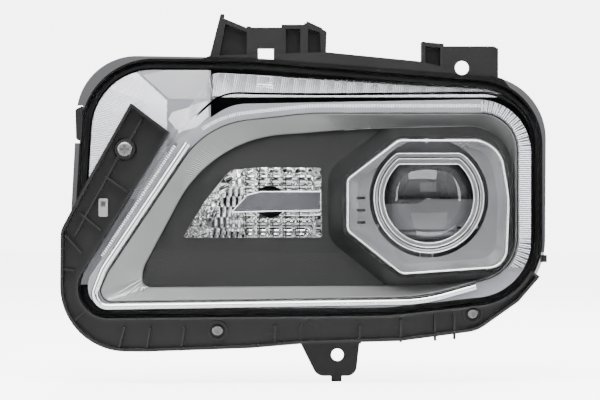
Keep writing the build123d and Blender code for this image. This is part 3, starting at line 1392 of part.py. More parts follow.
with BuildPart() as connector_socket:
    with BuildSketch(at(SHELL_BACK + 3)):
        with Locations((CONNECTOR_X, CONNECTOR_Z)):
            RectangleRounded(CONNECTOR_WIDTH + 9, CONNECTOR_HEIGHT + 9, 2)
    extrude(amount=3)
    with BuildSketch(at(SHELL_BACK + 20)):
        with Locations((CONNECTOR_X, CONNECTOR_Z)):
            RectangleRounded(CONNECTOR_WIDTH, CONNECTOR_HEIGHT, 1.5)
    extrude(amount=24)
    with BuildSketch(at(SHELL_BACK + 20)):
        with Locations((CONNECTOR_X, CONNECTOR_Z)):
            RectangleRounded(CONNECTOR_WIDTH - 3, CONNECTOR_HEIGHT - 3, 1.0)
    extrude(amount=16, mode=Mode.SUBTRACT)
finish(connector_socket, "connector_socket")

with BuildPart() as connector_pins:
    with BuildSketch(at(SHELL_BACK + 15)):
        with Locations((CONNECTOR_X, CONNECTOR_Z)):
            with GridLocations(3.4, 4.0, 5, 2):
                Rectangle(0.8, 0.8)
    extrude(amount=11)
finish(connector_pins, "connector_pins")
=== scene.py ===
# %% [markdown]
# # A car headlight, finished in Blender
# The shell, the brackets, the projector and everything that moves come in as a fixed CAD frame.
# This lesson gives each of those pieces its finish, and adds what a CAD model leaves out: flutes,
# light-guide teeth, reflector facets, fine ribs, and beads that paint highlights along the rims.
# The studio is in metres. The lamp's outlines are in millimetres, and each piece is scaled once,
# when it is added.

# %% Load the frame
import bpy
import bmesh
import math
from mathutils import Matrix, Vector
from mathutils.bvhtree import BVHTree


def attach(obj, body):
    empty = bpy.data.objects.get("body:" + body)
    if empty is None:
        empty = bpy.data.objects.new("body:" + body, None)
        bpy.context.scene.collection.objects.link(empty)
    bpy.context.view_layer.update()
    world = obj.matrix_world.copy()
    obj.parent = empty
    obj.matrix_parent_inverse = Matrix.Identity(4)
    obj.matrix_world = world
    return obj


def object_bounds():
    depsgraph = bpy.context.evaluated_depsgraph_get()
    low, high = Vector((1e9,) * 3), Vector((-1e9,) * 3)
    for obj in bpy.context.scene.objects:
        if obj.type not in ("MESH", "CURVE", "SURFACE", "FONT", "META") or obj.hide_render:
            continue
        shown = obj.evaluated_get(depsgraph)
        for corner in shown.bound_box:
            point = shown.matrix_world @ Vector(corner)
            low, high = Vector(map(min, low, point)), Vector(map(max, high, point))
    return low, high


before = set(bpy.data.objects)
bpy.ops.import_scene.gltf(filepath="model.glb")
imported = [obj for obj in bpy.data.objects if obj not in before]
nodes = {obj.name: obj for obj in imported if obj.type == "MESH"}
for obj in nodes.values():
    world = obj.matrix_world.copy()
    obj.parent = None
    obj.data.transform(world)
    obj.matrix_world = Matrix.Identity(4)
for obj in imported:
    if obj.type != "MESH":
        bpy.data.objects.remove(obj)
cad_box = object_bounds()
MM = 0.001
print("CAD box", [[round(v, 4) for v in corner] for corner in cad_box])

# %% [markdown]
# ## The camera
# A lamp is drawn square on, as it is seen by somebody in front of the car. The camera could stand
# close with a wide lens, but that would bend the long straight trims, so it stands well back.

# %% Camera
CAMERA_DISTANCE = 2.4
VIEW_CENTRE = Vector((-0.0264, -0.02, 0.1093))
VIEW_WIDTH = 0.420
SENSOR = 36.0

camera_data = bpy.data.cameras.new("lesson_camera")
camera_data.sensor_width = SENSOR
camera_data.lens = SENSOR * CAMERA_DISTANCE / VIEW_WIDTH
camera = bpy.data.objects.new("lesson_camera", camera_data)
camera.location = VIEW_CENTRE + Vector((0.0, -CAMERA_DISTANCE, 0.0))
camera.rotation_euler = (math.radians(90), 0, 0)
bpy.context.scene.collection.objects.link(camera)
bpy.context.scene.camera = camera
print("lens", round(camera_data.lens, 1), "mm")

# %% [markdown]
# ## The lights
# A lamp is all gloss and glass, so what it reflects matters more than what lights it. One large
# soft panel ahead and above, and a narrow one at each side, put long soft streaks on the rods and
# rims and leave the black plastic black. A weak fill and a panel behind show the rest.


# %% Lights
def soft_panel(name, place, aim, size, watts):
    """Rectangular soft light at a place, turned towards a point."""
    light = bpy.data.lights.new(name, "AREA")
    light.shape = "RECTANGLE"
    light.size, light.size_y = size
    light.energy = watts
    lamp = bpy.data.objects.new(name, light)
    lamp.location = place
    lamp.rotation_euler = (Vector(aim) - Vector(place)).to_track_quat("-Z", "Y").to_euler()
    bpy.context.scene.collection.objects.link(lamp)
    print(name, watts, "W")


soft_panel("key_panel", (-0.2, -1.2, 1.5), (0, 0, 0.1), (1.6, 0.9), 95)
soft_panel("left_strip", (-1.3, -0.7, 0.4), (0, 0, 0.1), (0.4, 1.4), 24)
soft_panel("right_strip", (1.3, -0.6, 0.5), (0, 0, 0.1), (0.4, 1.4), 20)
soft_panel("front_fill", (0.1, -2.2, 0.9), (0, 0, 0.1), (1.2, 0.7), 5)
soft_panel("back_panel", (0.3, 1.4, 1.2), (0, 0.05, 0.1), (1.2, 0.8), 40)

# %% [markdown]
# ## The room
# A white room would light the black plastic from all sides. So the room has two faces: the eye
# sees plain white, and everything else sees grey below the horizon that brightens to white
# overhead. A light-path node picks between them.

# %% Room
ROOM_STRENGTH = 1.6
SEEN_STRENGTH = 6.0
DARK_BELOW, WHITE_ABOVE = 0.48, 0.9

world = bpy.data.worlds.new("pale_room")
bpy.context.scene.world = world
world.use_nodes = True
sky = world.node_tree
room = sky.nodes["Background"]
room.inputs["Strength"].default_value = ROOM_STRENGTH
seen = sky.nodes.new("ShaderNodeBackground")
seen.inputs["Color"].default_value = (1, 1, 1, 1)
seen.inputs["Strength"].default_value = SEEN_STRENGTH
heading = sky.nodes.new("ShaderNodeTexCoord")
parts = sky.nodes.new("ShaderNodeSeparateXYZ")
sky.links.new(heading.outputs["Generated"], parts.inputs[0])
half_up = sky.nodes.new("ShaderNodeMath")
half_up.operation = "MULTIPLY_ADD"
half_up.inputs[1].default_value = 0.5
half_up.inputs[2].default_value = 0.5
sky.links.new(parts.outputs["Z"], half_up.inputs[0])
ramp = sky.nodes.new("ShaderNodeValToRGB")
below, overhead = ramp.color_ramp.elements
below.position, below.color = DARK_BELOW, (0.05, 0.05, 0.055, 1)
overhead.position, overhead.color = WHITE_ABOVE, (1.0, 1.0, 1.0, 1)
sky.links.new(half_up.outputs[0], ramp.inputs["Fac"])
sky.links.new(ramp.outputs["Color"], room.inputs["Color"])
eye = sky.nodes.new("ShaderNodeLightPath")
choice = sky.nodes.new("ShaderNodeMixShader")
sky.links.new(eye.outputs["Is Camera Ray"], choice.inputs["Fac"])
sky.links.new(room.outputs[0], choice.inputs[1])
sky.links.new(seen.outputs[0], choice.inputs[2])
sky.links.new(choice.outputs[0], sky.nodes["World Output"].inputs["Surface"])
print("room", len(sky.nodes), "nodes")

# %% [markdown]
# ## The floor
# The lamp stands over a plain pale sweep, a hair below its lowest tab. Its finish comes at the
# end, because it uses the same plastic grain as the lamp.

# %% Floor
FLOOR_SIZE = 12
FLOOR_GAP = 0.0004
floor_level = cad_box[0][2] - FLOOR_GAP
bpy.ops.mesh.primitive_plane_add(size=FLOOR_SIZE, location=(0, 0, floor_level))
floor = bpy.context.object
floor.name = "floor"
print("floor at", round(floor_level, 4))

# %% [markdown]
# ## Moulded grain
# Moulded plastic and plated metal are never quite even: slow clouds change their colour and
# gloss, and a fine pebble covers them. Each finish could draw its own noise, but one node group
# with its own values in each material keeps them alike. It gives a colour, a roughness and a
# height, and the Principled shader stays in each material.

# %% Moulded grain
COLOUR, NUMBER = "NodeSocketColor", "NodeSocketFloat"
GRAIN_INPUTS = [
    ("Colour", COLOUR, (0.03, 0.03, 0.03, 1)),
    ("Worn Colour", COLOUR, (0.06, 0.06, 0.06, 1)),
    ("Scale", NUMBER, 900.0),
    ("Smooth", NUMBER, 0.3),
    ("Rough", NUMBER, 0.5),
]
CLOUD_SCALE, CLOUD_DETAIL = 28.0, 5.0
PEBBLE_DETAIL = 3.0
COLOUR_A, COLOUR_B, COLOUR_OUT = 6, 7, 2  # the colour sockets of a Mix node


def math_node(tree, operation, first, second):
    """Math node with sockets or numbers on its inputs; returns its value."""
    made = tree.nodes.new("ShaderNodeMath")
    made.operation = operation
    for slot, value in enumerate((first, second)):
        if isinstance(value, (int, float)):
            made.inputs[slot].default_value = value
        else:
            tree.links.new(value, made.inputs[slot])
    return made.outputs[0]


grain = bpy.data.node_groups.new("Moulded Grain", "ShaderNodeTree")
for label, kind, value in GRAIN_INPUTS:
    grain.interface.new_socket(label, in_out="INPUT", socket_type=kind).default_value = value
for label, kind in (("Colour", COLOUR), ("Roughness", NUMBER), ("Height", NUMBER)):
    grain.interface.new_socket(label, in_out="OUTPUT", socket_type=kind)
grain_in = grain.nodes.new("NodeGroupInput")
grain_out = grain.nodes.new("NodeGroupOutput")
place = grain.nodes.new("ShaderNodeTexCoord")
cloud = grain.nodes.new("ShaderNodeTexNoise")
cloud.inputs["Scale"].default_value = CLOUD_SCALE
cloud.inputs["Detail"].default_value = CLOUD_DETAIL
pebble = grain.nodes.new("ShaderNodeTexNoise")
pebble.inputs["Detail"].default_value = PEBBLE_DETAIL
grain.links.new(place.outputs["Object"], cloud.inputs["Vector"])
grain.links.new(place.outputs["Object"], pebble.inputs["Vector"])
grain.links.new(grain_in.outputs["Scale"], pebble.inputs["Scale"])
blend = grain.nodes.new("ShaderNodeMix")
blend.data_type = "RGBA"
grain.links.new(math_node(grain, "POWER", cloud.outputs["Fac"], 2.0), blend.inputs["Factor"])
grain.links.new(grain_in.outputs["Colour"], blend.inputs[COLOUR_A])
grain.links.new(grain_in.outputs["Worn Colour"], blend.inputs[COLOUR_B])
span = math_node(grain, "SUBTRACT", grain_in.outputs["Rough"], grain_in.outputs["Smooth"])
uneven = math_node(grain, "MULTIPLY", span, cloud.outputs["Fac"])
roughness = math_node(grain, "ADD", grain_in.outputs["Smooth"], uneven)
grain.links.new(blend.outputs[COLOUR_OUT], grain_out.inputs["Colour"])
grain.links.new(roughness, grain_out.inputs["Roughness"])
grain.links.new(pebble.outputs["Fac"], grain_out.inputs["Height"])
print(grain.name, len(grain.nodes), "nodes")

# %% [markdown]
# ## Plain finishes
# The lamp is black moulded plastic, satin and bright trims, cast and plated metal. One function
# makes them all: the grain feeds colour, roughness and a fine bump, and the numbers that never
# vary sit on the shader itself. Polished finishes have no bump, as it would only look gritty.


# %% Plain finishes
def grained(name, colour, worn, smooth, rough, scale=900.0, bump=0.0, metallic=0.0, shine=0.5):
    """Principled material driven by the moulded grain; bump is in millimetres."""
    mat = bpy.data.materials.new(name)
    mat.use_nodes = True
    tree = mat.node_tree
    shader = tree.nodes["Principled BSDF"]
    shader.inputs["Metallic"].default_value = metallic
    shader.inputs["Specular IOR Level"].default_value = shine
    pattern = tree.nodes.new("ShaderNodeGroup")
    pattern.node_tree = grain
    pattern.inputs["Colour"].default_value = (*colour, 1)
    pattern.inputs["Worn Colour"].default_value = (*worn, 1)
    pattern.inputs["Scale"].default_value = scale
    pattern.inputs["Smooth"].default_value = smooth
    pattern.inputs["Rough"].default_value = rough
    tree.links.new(pattern.outputs["Colour"], shader.inputs["Base Color"])
    tree.links.new(pattern.outputs["Roughness"], shader.inputs["Roughness"])
    if bump:
        relief = tree.nodes.new("ShaderNodeBump")
        relief.inputs["Strength"].default_value = 1.0
        relief.inputs["Distance"].default_value = bump * MM
        tree.links.new(pattern.outputs["Height"], relief.inputs["Height"])
        tree.links.new(relief.outputs["Normal"], shader.inputs["Normal"])
    return mat


def grey(value, tint=0.0):
    """Grey with a small blue tint."""
    return (value, value, value * (1 + tint))


# %% Plastics and rubber
housing_black = grained("housing_black", grey(0.004), grey(0.007), 0.25, 0.4, bump=0.015, shine=0.35)
bracket_black = grained("bracket_black", grey(0.004), grey(0.009), 0.22, 0.36, bump=0.01, shine=0.4)
panel_black = grained("panel_black", grey(0.006), grey(0.009), 0.42, 0.55, scale=1600, bump=0.01, shine=0.2)
sealant_black = grained("sealant_black", grey(0.01), grey(0.015), 0.5, 0.7)
clip_grey = grained("clip_grey", grey(0.16), grey(0.22), 0.35, 0.5)
board_green = grained("board_green", (0.01, 0.09, 0.03), (0.02, 0.13, 0.05), 0.2, 0.35)
bulb_plastic = grained("bulb_plastic", grey(0.04), grey(0.07), 0.35, 0.55)
seal_rubber = grained("seal_rubber", grey(0.018), grey(0.03), 0.55, 0.8)

# %% Metals
zinc_bright = grained("zinc_bright", grey(0.72), grey(0.55), 0.2, 0.38, bump=0.01, metallic=1.0)
zinc_dark = grained("zinc_dark", grey(0.22), grey(0.12), 0.3, 0.45, bump=0.01, metallic=1.0)
cast_metal = grained("cast_metal", grey(0.42), grey(0.5), 0.35, 0.55, bump=0.05, metallic=0.9)
dark_steel = grained("dark_steel", grey(0.12), grey(0.18), 0.3, 0.5, metallic=0.9)
contact_brass = grained("contact_brass", (0.72, 0.5, 0.2), (0.6, 0.42, 0.2), 0.2, 0.35, metallic=1.0)

# %% Metallised and satin trims
# satin_silver is the plates' satin kept darker than the flutes and ribs on it: painted shade between the
# ridges.
satin_silver = grained("satin_silver", grey(0.22, 0.08), grey(0.28, 0.08), 0.25, 0.38, metallic=0.5)
smoked_gloss = grained("smoked_gloss", grey(0.20, 0.05), grey(0.27, 0.05), 0.12, 0.22, metallic=0.7)
bright_chrome = grained("bright_chrome", grey(0.86), grey(0.80), 0.02, 0.09, metallic=1.0)
dark_chrome = grained("dark_chrome", grey(0.16, 0.1), grey(0.2, 0.1), 0.12, 0.25, metallic=0.9)
field_grey = grained("field_grey", grey(0.30, 0.03), grey(0.34, 0.03), 0.35, 0.5, metallic=0.3)
# bright_satin is the same satin made much lighter; on the flutes and ribs that lightness is a painted
# highlight.
bright_satin = grained("bright_satin", grey(0.80, 0.03), grey(0.86, 0.03), 0.18, 0.3, metallic=0.5)
trim_grey = grained("trim_grey", grey(0.20), grey(0.27), 0.25, 0.4, metallic=0.6)
guide_bright = grained("guide_bright", grey(0.75, 0.04), grey(0.85, 0.04), 0.08, 0.18, metallic=0.6)
# A near-white finish much brighter than the parts it lines: a painted highlight along their edges.
painted_edge_highlight = grained("painted_edge_highlight", grey(0.9), grey(0.95), 0.05, 0.12, metallic=0.8)
print(len(bpy.data.materials), "materials so far")

# %% [markdown]
# ## Clear finishes
# The outer lens, the light guides and the bulbs are clear plastic and glass. Real glass casts
# bright patterns that a renderer finds slowly, and everything behind the lens would be dark until
# it did. So shadow rays and soft bounces pass straight through, and only the eye and the gloss
# see the glass. A slow haze keeps its surface from being perfect.

# %% Clear finishes
HAZE_SCALE = 60.0


def clear(name, tint, haziness, ior, shade):
    """Clear plastic or glass that lets light through to what is behind it."""
    mat = bpy.data.materials.new(name)
    mat.use_nodes = True
    tree = mat.node_tree
    shader = tree.nodes["Principled BSDF"]
    shader.inputs["Base Color"].default_value = (*tint, 1)
    shader.inputs["IOR"].default_value = ior
    shader.inputs["Transmission Weight"].default_value = 1.0
    haze = tree.nodes.new("ShaderNodeTexNoise")
    haze.inputs["Scale"].default_value = HAZE_SCALE
    spot = tree.nodes.new("ShaderNodeTexCoord")
    tree.links.new(spot.outputs["Object"], haze.inputs["Vector"])
    blur = math_node(tree, "MULTIPLY", haze.outputs["Fac"], haziness * 2)
    tree.links.new(blur, shader.inputs["Roughness"])
    passing = tree.nodes.new("ShaderNodeBsdfTransparent")
    passing.inputs["Color"].default_value = (shade, shade, shade, 1)
    ray = tree.nodes.new("ShaderNodeLightPath")
    mix = tree.nodes.new("ShaderNodeMixShader")
    free = math_node(tree, "MAXIMUM", ray.outputs["Is Shadow Ray"], ray.outputs["Is Diffuse Ray"])
    tree.links.new(free, mix.inputs["Fac"])
    tree.links.new(shader.outputs[0], mix.inputs[1])
    tree.links.new(passing.outputs[0], mix.inputs[2])
    tree.links.new(mix.outputs[0], tree.nodes["Material Output"].inputs["Surface"])
    return mat


clear_lens = clear("clear_lens", (0.985, 0.99, 0.995), 0.004, 1.16, 0.97)
guide_clear = clear("guide_clear", (0.80, 0.82, 0.87), 0.05, 1.3, 0.9)
optic_glass = clear("optic_glass", (0.86, 0.87, 0.9), 0.003, 1.48, 0.9)
amber_glass = clear("amber_glass", (0.95, 0.62, 0.3), 0.01, 1.45, 0.8)
print(len(bpy.data.materials), "materials so far")

# %% [markdown]
# ## A finish for each CAD piece
# The CAD pieces keep their shape and place, and only their material slots are filled. A table
# from finish to pieces shows at a glance that none is left out.

# %% Finish each CAD piece
finishes = {
    housing_black: ("housing", "adjuster_housing", "rear_cap", "connector_socket"),
    bracket_black: ("retainer_bracket",),
    panel_black: ("bezel_panel",),
    sealant_black: ("lens_sealant",),
    clear_lens: ("outer_lens",),
    zinc_dark: ("bracket_screws",),
    zinc_bright: ("drl_screws", "adjuster_screws", "projector_screws", "shutter_pin",
                  "pivot_studs", "aim_rod", "solenoid_plunger", "shutter_spring"),
    clip_grey: ("bracket_clip", "pivot_sockets", "rod_socket", "adjuster_gear", "adjuster_shaft"),
    satin_silver: ("light_guide_carrier", "upper_fluted_trim", "corner_trim"),
    trim_grey: ("ribbed_trim",),
    bright_chrome: ("light_bar", "side_reflector", "projector_reflector"),
    guide_clear: ("prism_strip", "outboard_light_guide"),
    smoked_gloss: ("projector_bezel", "lens_trim_ring", "lens_holder"),
    dark_chrome: ("centre_bar",),
    optic_glass: ("projector_lens", "low_beam_bulb"),
    amber_glass: ("side_bulb",),
    cast_metal: ("aim_carrier", "shutter_frame", "drl_heat_sink"),
    dark_steel: ("cutoff_shutter", "solenoid"),
    board_green: ("drl_board",),
    bulb_plastic: ("bulb_base", "side_bulb_holder"),
    seal_rubber: ("bulb_seal", "side_bulb_seal", "rear_cap_gasket", "vent_elbows"),
    contact_brass: ("connector_pins",),
}
for finish, names in finishes.items():
    for name in names:
        for slot in nodes[name].material_slots:
            slot.material = finish
print("finished", sum(len(names) for names in finishes.values()), "of", len(nodes), "nodes")

# %% [markdown]
# ## Outlines to work along
# The trims, the window and the bezel are closed outlines with rounded corners. Each is a list of
# corners, as (across, up, corner radius) in the front view, from which the rest is worked out.

# %% Outlines
TRIM_OUTER = [(-169.5, 38, 8), (-160.5, 59, 30), (-91.5, 162, 60), (-20, 170, 150),
              (125, 170, 26), (125, 60, 30), (60, 41.5, 150)]
TRIM_INNER = [(-137.5, 48.2, 6), (-136, 62, 15), (-88.3, 151.5, 90), (20, 159.5, 150),
              (121.5, 162, 30), (121.5, 56, 30), (60, 49.5, 150)]
OCTAGON = [(6, 88, 6), (6, 124, 6), (42, 151.3, 10), (112, 151.3, 22), (119, 110, 60),
           (117, 62.5, 14), (44, 57.5, 10)]
CENTRE_BAR = [(-75, 100.5, 0.6), (-63.5, 113, 4), (-54, 115.4, 8), (-11.4, 115.4, 0.5),
              (-11.4, 102, 0.5), (-70, 100.5, 1)]
PROJECTOR_AXIS = Vector((63.2, 110.7))

# %% [markdown]
# ## From corners to stops
# Rims, teeth and ribs all follow an outline. A drawn curve would do for a rim, but teeth need to
# know where they stand and which way is out. So one function rounds the corners into a line of
# points, and another walks along it in even steps.

# %% Rounded outlines and stops
CORNER_STEP = 5  # degrees of a rounded corner to each point


def rounded_loop(corners, grow=0.0):
    """Closed line of points through rounded corners, moved outwards by grow."""
    points = []
    for i, (x, z, radius) in enumerate(corners):
        here = Vector((x, z))
        back = (Vector(corners[i - 1][:2]) - here).normalized()
        on = (Vector(corners[(i + 1) % len(corners)][:2]) - here).normalized()
        half = back.angle(on) / 2
        reach = radius / math.tan(half)
        centre = here + (back + on).normalized() * radius / math.sin(half)
        first = here + back * reach - centre
        last = here + on * reach - centre
        turn = math.copysign(math.pi - 2 * half, first.x * last.y - first.y * last.x)
        steps = max(2, int(math.degrees(abs(turn)) / CORNER_STEP))
        for k in range(steps + 1):
            angle = turn * k / steps
            arm = Vector((
                first.x * math.cos(angle) - first.y * math.sin(angle),
                first.x * math.sin(angle) + first.y * math.cos(angle),
            ))
            points.append(centre + arm + arm.normalized() * grow)
    return points


def stops(points, pitch):
    """Evenly spaced (point, along, outward) stops round a closed line that runs clockwise."""
    found = []
    carried = 0.0
    for i, here in enumerate(points):
        ahead = points[(i + 1) % len(points)]
        span = (ahead - here).length
        if span < 1e-9:
            continue
        along = (ahead - here) / span
        while carried < span:
            found.append((here + along * carried, along, Vector((-along.y, along.x))))
            carried += pitch
        carried -= span
    return found


print("trim", len(rounded_loop(TRIM_OUTER)), "points outside,", len(rounded_loop(TRIM_INNER)), "inside")

# %% [markdown]
# ## Finding a CAD face
# Ribs have to sit on the trims as they are, bowed and sloping. A ray shot from in front of the
# lamp finds the face, so no height has to be guessed, and the CAD piece itself isn't touched.

# %% Finding a CAD face
FRONT_OF_LAMP = -200


def probe(name):
    """Search tree of a CAD node, in millimetres."""
    bm = bmesh.new()
    bm.from_mesh(nodes[name].data)
    bm.transform(Matrix.Scale(1000, 4) @ nodes[name].matrix_world)
    tree = BVHTree.FromBMesh(bm)
    bm.free()
    return tree


def face_at(tree, point):
    """Front surface of a node at a point of the front view, or None."""
    start = Vector((point[0], FRONT_OF_LAMP, point[1]))
    hit, normal, _, _ = tree.ray_cast(start, Vector((0, 1, 0)))
    if hit is None:
        return None
    return hit, (normal if normal.y < 0 else -normal)


# %% [markdown]
# ## One ridge, many times
# Flutes, teeth and ribs are all the same thing at other sizes: a straight ridge with a
# three-cornered section. A cone with three sides and equal ends makes it with one operator and
# very few faces, which matters when hundreds stand side by side.

# %% Ridges
CONE_WIDTH, CONE_HEIGHT = 1.732, 1.5  # of a three-sided cone of radius 1
SUNK_SHARE = 0.23  # how far up its height a ridge's middle lies, so that its foot is sunk
SHORTEST_RIDGE = 0.05
RIB_STEP = 0.7


def ridge(bm, start, end, outward, width, height):
    """Triangular ridge between two points, its foot a little below the surface."""
    run = end - start
    if run.length < SHORTEST_RIDGE:
        return
    along = run.normalized()
    up = (outward - along * outward.dot(along)).normalized()
    side = up.cross(along)
    turn = Matrix((side * width / CONE_WIDTH, up * height / CONE_HEIGHT, along)).transposed().to_4x4()
    middle = (start + end) / 2 + up * height * SUNK_SHARE
    bmesh.ops.create_cone(
        bm, cap_ends=True, segments=3, radius1=1, radius2=1, depth=run.length,
        matrix=Matrix.Translation(middle) @ turn,
    )


def rib_over(bm, tree, start, heading, reach, width, height, keep=None, step=RIB_STEP):
    """Ridge that follows a node's front surface from a point along a heading."""
    first = last = None
    for k in range(int(reach / step) + 1):
        spot = start + heading * (k * step)
        found = face_at(tree, spot)
        if found is None or (keep is not None and not keep(spot, found)):
            if first is not None:
                break
            continue
        if first is None:
            first = found
        last = found
    if first is not None and last is not first:
        ridge(bm, first[0], last[0], first[1], width, height)


# %% [markdown]
# ## Adding a piece
# A finished mesh or bead is scaled to metres, gets its material, and rides on the body whose CAD
# pieces it belongs to, so that it moves with them.


# %% Adding pieces
def add_piece(name, bm, finish, body="lamp_body"):
    """Links a finished mesh, scaled to metres, and lets it ride on a body."""
    bmesh.ops.recalc_face_normals(bm, faces=bm.faces)
    bm.transform(Matrix.Scale(MM, 4))
    mesh = bpy.data.meshes.new(name)
    bm.to_mesh(mesh)
    bm.free()
    mesh.materials.append(finish)
    piece = bpy.data.objects.new(name, mesh)
    bpy.context.scene.collection.objects.link(piece)
    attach(piece, body)
    print(name, len(mesh.polygons), "faces")


def add_rim(name, points, depth, radius, finish, body="lamp_body"):
    """Thin round bead along a closed line of the front view at one depth."""
    curve = bpy.data.curves.new(name, "CURVE")
    curve.dimensions = "3D"
    curve.bevel_depth = radius * MM
    curve.bevel_resolution = 3
    spline = curve.splines.new("POLY")
    spline.points.add(len(points) - 1)
    for knot, point in zip(spline.points, points):
        knot.co = (point[0] * MM, depth * MM, point[1] * MM, 1)
    spline.use_cyclic_u = True
    curve.materials.append(finish)
    piece = bpy.data.objects.new(name, curve)
    bpy.context.scene.collection.objects.link(piece)
    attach(piece, body)
    print(name, len(points), "points")


# %% [markdown]
# ## Flutes above the projector
# The long slab over the lens is moulded with upright flutes that lean a little. They are cut in
# the mould as even ridges, so one ridge is repeated along the slab and stops where the slab stops.

# %% Upper flutes
FLUTE_PITCH = 1.45
FLUTE_WIDTH, FLUTE_HEIGHT = 1.05, 0.8
FLUTES_LEFT, FLUTES_BOTTOM = -88.5, 179.0
FLUTED_LENGTH, FLUTE_REACH = 208, 26
FLUTE_LEAN = Vector((0.14, 1.0)).normalized()

slab = probe("upper_fluted_trim")
bm = bmesh.new()
for k in range(int(FLUTED_LENGTH / FLUTE_PITCH)):
    foot = Vector((FLUTES_LEFT + k * FLUTE_PITCH, FLUTES_BOTTOM))
    rib_over(bm, slab, foot, FLUTE_LEAN, FLUTE_REACH, FLUTE_WIDTH, FLUTE_HEIGHT)
# The flutes are much lighter than the slab under them: a painted highlight on the ridges and painted shade
# between them.
add_piece("upper_flutes", bm, bright_satin)

# %% [markdown]
# ## Fan of ribs in the upper corner
# The corner plate carries fine ribs that run level at the side and turn downwards over the top.
# Each rib starts on the plate's outer edge, and its slope grows steadily between a few points of
# that edge. The fan ends at a bent line, where the plain patches begin.

# %% Corner fan
FAN = [((-182, 112), -2), ((-180, 150), -7), ((-176, 176), -14),
       ((-166, 190), -21), ((-152, 199), -27), ((-139, 202), -31)]
FAN_PITCH, FAN_REACH = 1.3, 80
FAN_WIDTH, FAN_HEIGHT = 0.95, 0.6
PATCH_TOP, PATCH_BEND = Vector((-141, 199)), Vector((-119.5, 179))


def before_patch(spot, found):
    """True on the fan's side of the plain patches."""
    if spot.y > PATCH_BEND.y:
        share = (PATCH_TOP.y - spot.y) / (PATCH_TOP.y - PATCH_BEND.y)
        return spot.x < PATCH_TOP.x + (PATCH_BEND.x - PATCH_TOP.x) * share
    return spot.x < PATCH_BEND.x


plate = probe("corner_trim")
bm = bmesh.new()
for (low, low_slope), (high, high_slope) in zip(FAN, FAN[1:]):
    low, high = Vector(low), Vector(high)
    count = max(2, round((high - low).length / FAN_PITCH))
    for k in range(count):
        share = k / count
        slope = math.radians(low_slope + (high_slope - low_slope) * share)
        heading = Vector((math.cos(slope), math.sin(slope)))
        foot = low + (high - low) * share
        rib_over(bm, plate, foot, heading, FAN_REACH, FAN_WIDTH, FAN_HEIGHT, before_patch)
# The ribs are much lighter than the plate under them: a painted highlight on the ridges and painted shade
# between them.
add_piece("corner_fan", bm, bright_satin)

# %% [markdown]
# ## Plain patches of the corner
# Beside the fan lie a grey matt field, where the mould is left plain, and below it a bright
# smooth one. Both are a shade proud of the plate, which draws their outline.

# %% Corner patches
PATCH_LIFT = 0.35
GREY_FIELD = [(-137, 197), (-120, 200.5), (-90.5, 200.5), (-91, 180), (-118, 180)]
BRIGHT_FIELD = [(-116, 171), (-91, 178), (-90.5, 168), (-99, 160), (-112, 157), (-119, 166)]


def patch(name, outline, finish):
    """Thin plate with a polygon outline, just above the corner plate's front."""
    faces = [face_at(plate, point) for point in outline]
    top = min(found[0].y for found in faces if found)
    bm = bmesh.new()
    face = bm.faces.new([bm.verts.new((x, top - PATCH_LIFT, z)) for x, z in outline])
    raised = bmesh.ops.extrude_face_region(bm, geom=[face])
    moved = [part for part in raised["geom"] if isinstance(part, bmesh.types.BMVert)]
    bmesh.ops.translate(bm, verts=moved, vec=(0, PATCH_LIFT, 0))
    add_piece(name, bm, finish)


patch("grey_field", GREY_FIELD, field_grey)
patch("bright_field", BRIGHT_FIELD, bright_satin)

# %% [markdown]
# ## Teeth of the slanting strip
# A light guide sends its light forwards at small teeth. On the slanting strip they lie straight
# across it, so they are stepped off along the line from its low end to its high end.

# %% Strip teeth
STRIP_PITCH, STRIP_HALF = 1.75, 2.5
STRIP_WIDTH, STRIP_HEIGHT = 1.2, 0.7

strip = probe("prism_strip")
low_end, high_end = Vector((-164, 70.5)), Vector((-112.2, 149))
along = (high_end - low_end).normalized()
across = Vector((along.y, -along.x))
bm = bmesh.new()
for k in range(int((high_end - low_end).length / STRIP_PITCH)):
    start = low_end + along * (k * STRIP_PITCH) - across * STRIP_HALF
    rib_over(bm, strip, start, across, 2 * STRIP_HALF, STRIP_WIDTH, STRIP_HEIGHT, step=0.25)
add_piece("strip_teeth", bm, guide_bright)

# %% [markdown]
# ## Teeth of the outboard guide
# On the outboard guide the teeth lie level and turn with the corner above it, so they follow the
# trim's outline and point outwards from it. They start and end with the guide itself.

# %% Outboard teeth
OUTBOARD_PITCH, OUTBOARD_REACH = 1.4, 20
OUTBOARD_LEFT, OUTBOARD_BOTTOM = 92, 58

guide = probe("outboard_light_guide")
bm = bmesh.new()
for point, _, outward in stops(rounded_loop(TRIM_OUTER), OUTBOARD_PITCH):
    if point.x > OUTBOARD_LEFT and point.y > OUTBOARD_BOTTOM:
        rib_over(bm, guide, point + outward * 0.6, outward, OUTBOARD_REACH, 1.0, 0.7, step=0.5)
add_piece("outboard_teeth", bm, guide_bright)

# %% [markdown]
# ## Ribs of the trim frame
# The satin frame round the black panel is a sloping dish with fine ribs that cross it at a slant.
# They end where the dish reaches its floor, which its depth shows.

# %% Trim ribs
TRIM_PITCH, TRIM_REACH = 1.5, 46
TRIM_SLANT = 0.45
DISH_FLOOR = -21.5

dish = probe("ribbed_trim")
bm = bmesh.new()
for point, forward, outward in stops(rounded_loop(TRIM_INNER), TRIM_PITCH):
    slant = (outward - forward * TRIM_SLANT).normalized()
    start = point + outward * 0.4
    rib_over(bm, dish, start, slant, TRIM_REACH, 0.9, 0.22, lambda spot, found: found[0].y < DISH_FLOOR)
add_piece("trim_ribs", bm, trim_grey)

# %% [markdown]
# ## Broken line and shadow line
# A bright broken line runs round the frame's inner edge and a dark gap round its outer one. The
# line is a row of short bright ridges. The gap is drawn as a thin black bead, because a real slot
# of that width would be lost.

# %% Broken line and shadow line
DASH_PITCH, DASH_HALF, DASH_SIZE = 1.4, 0.45, 0.6

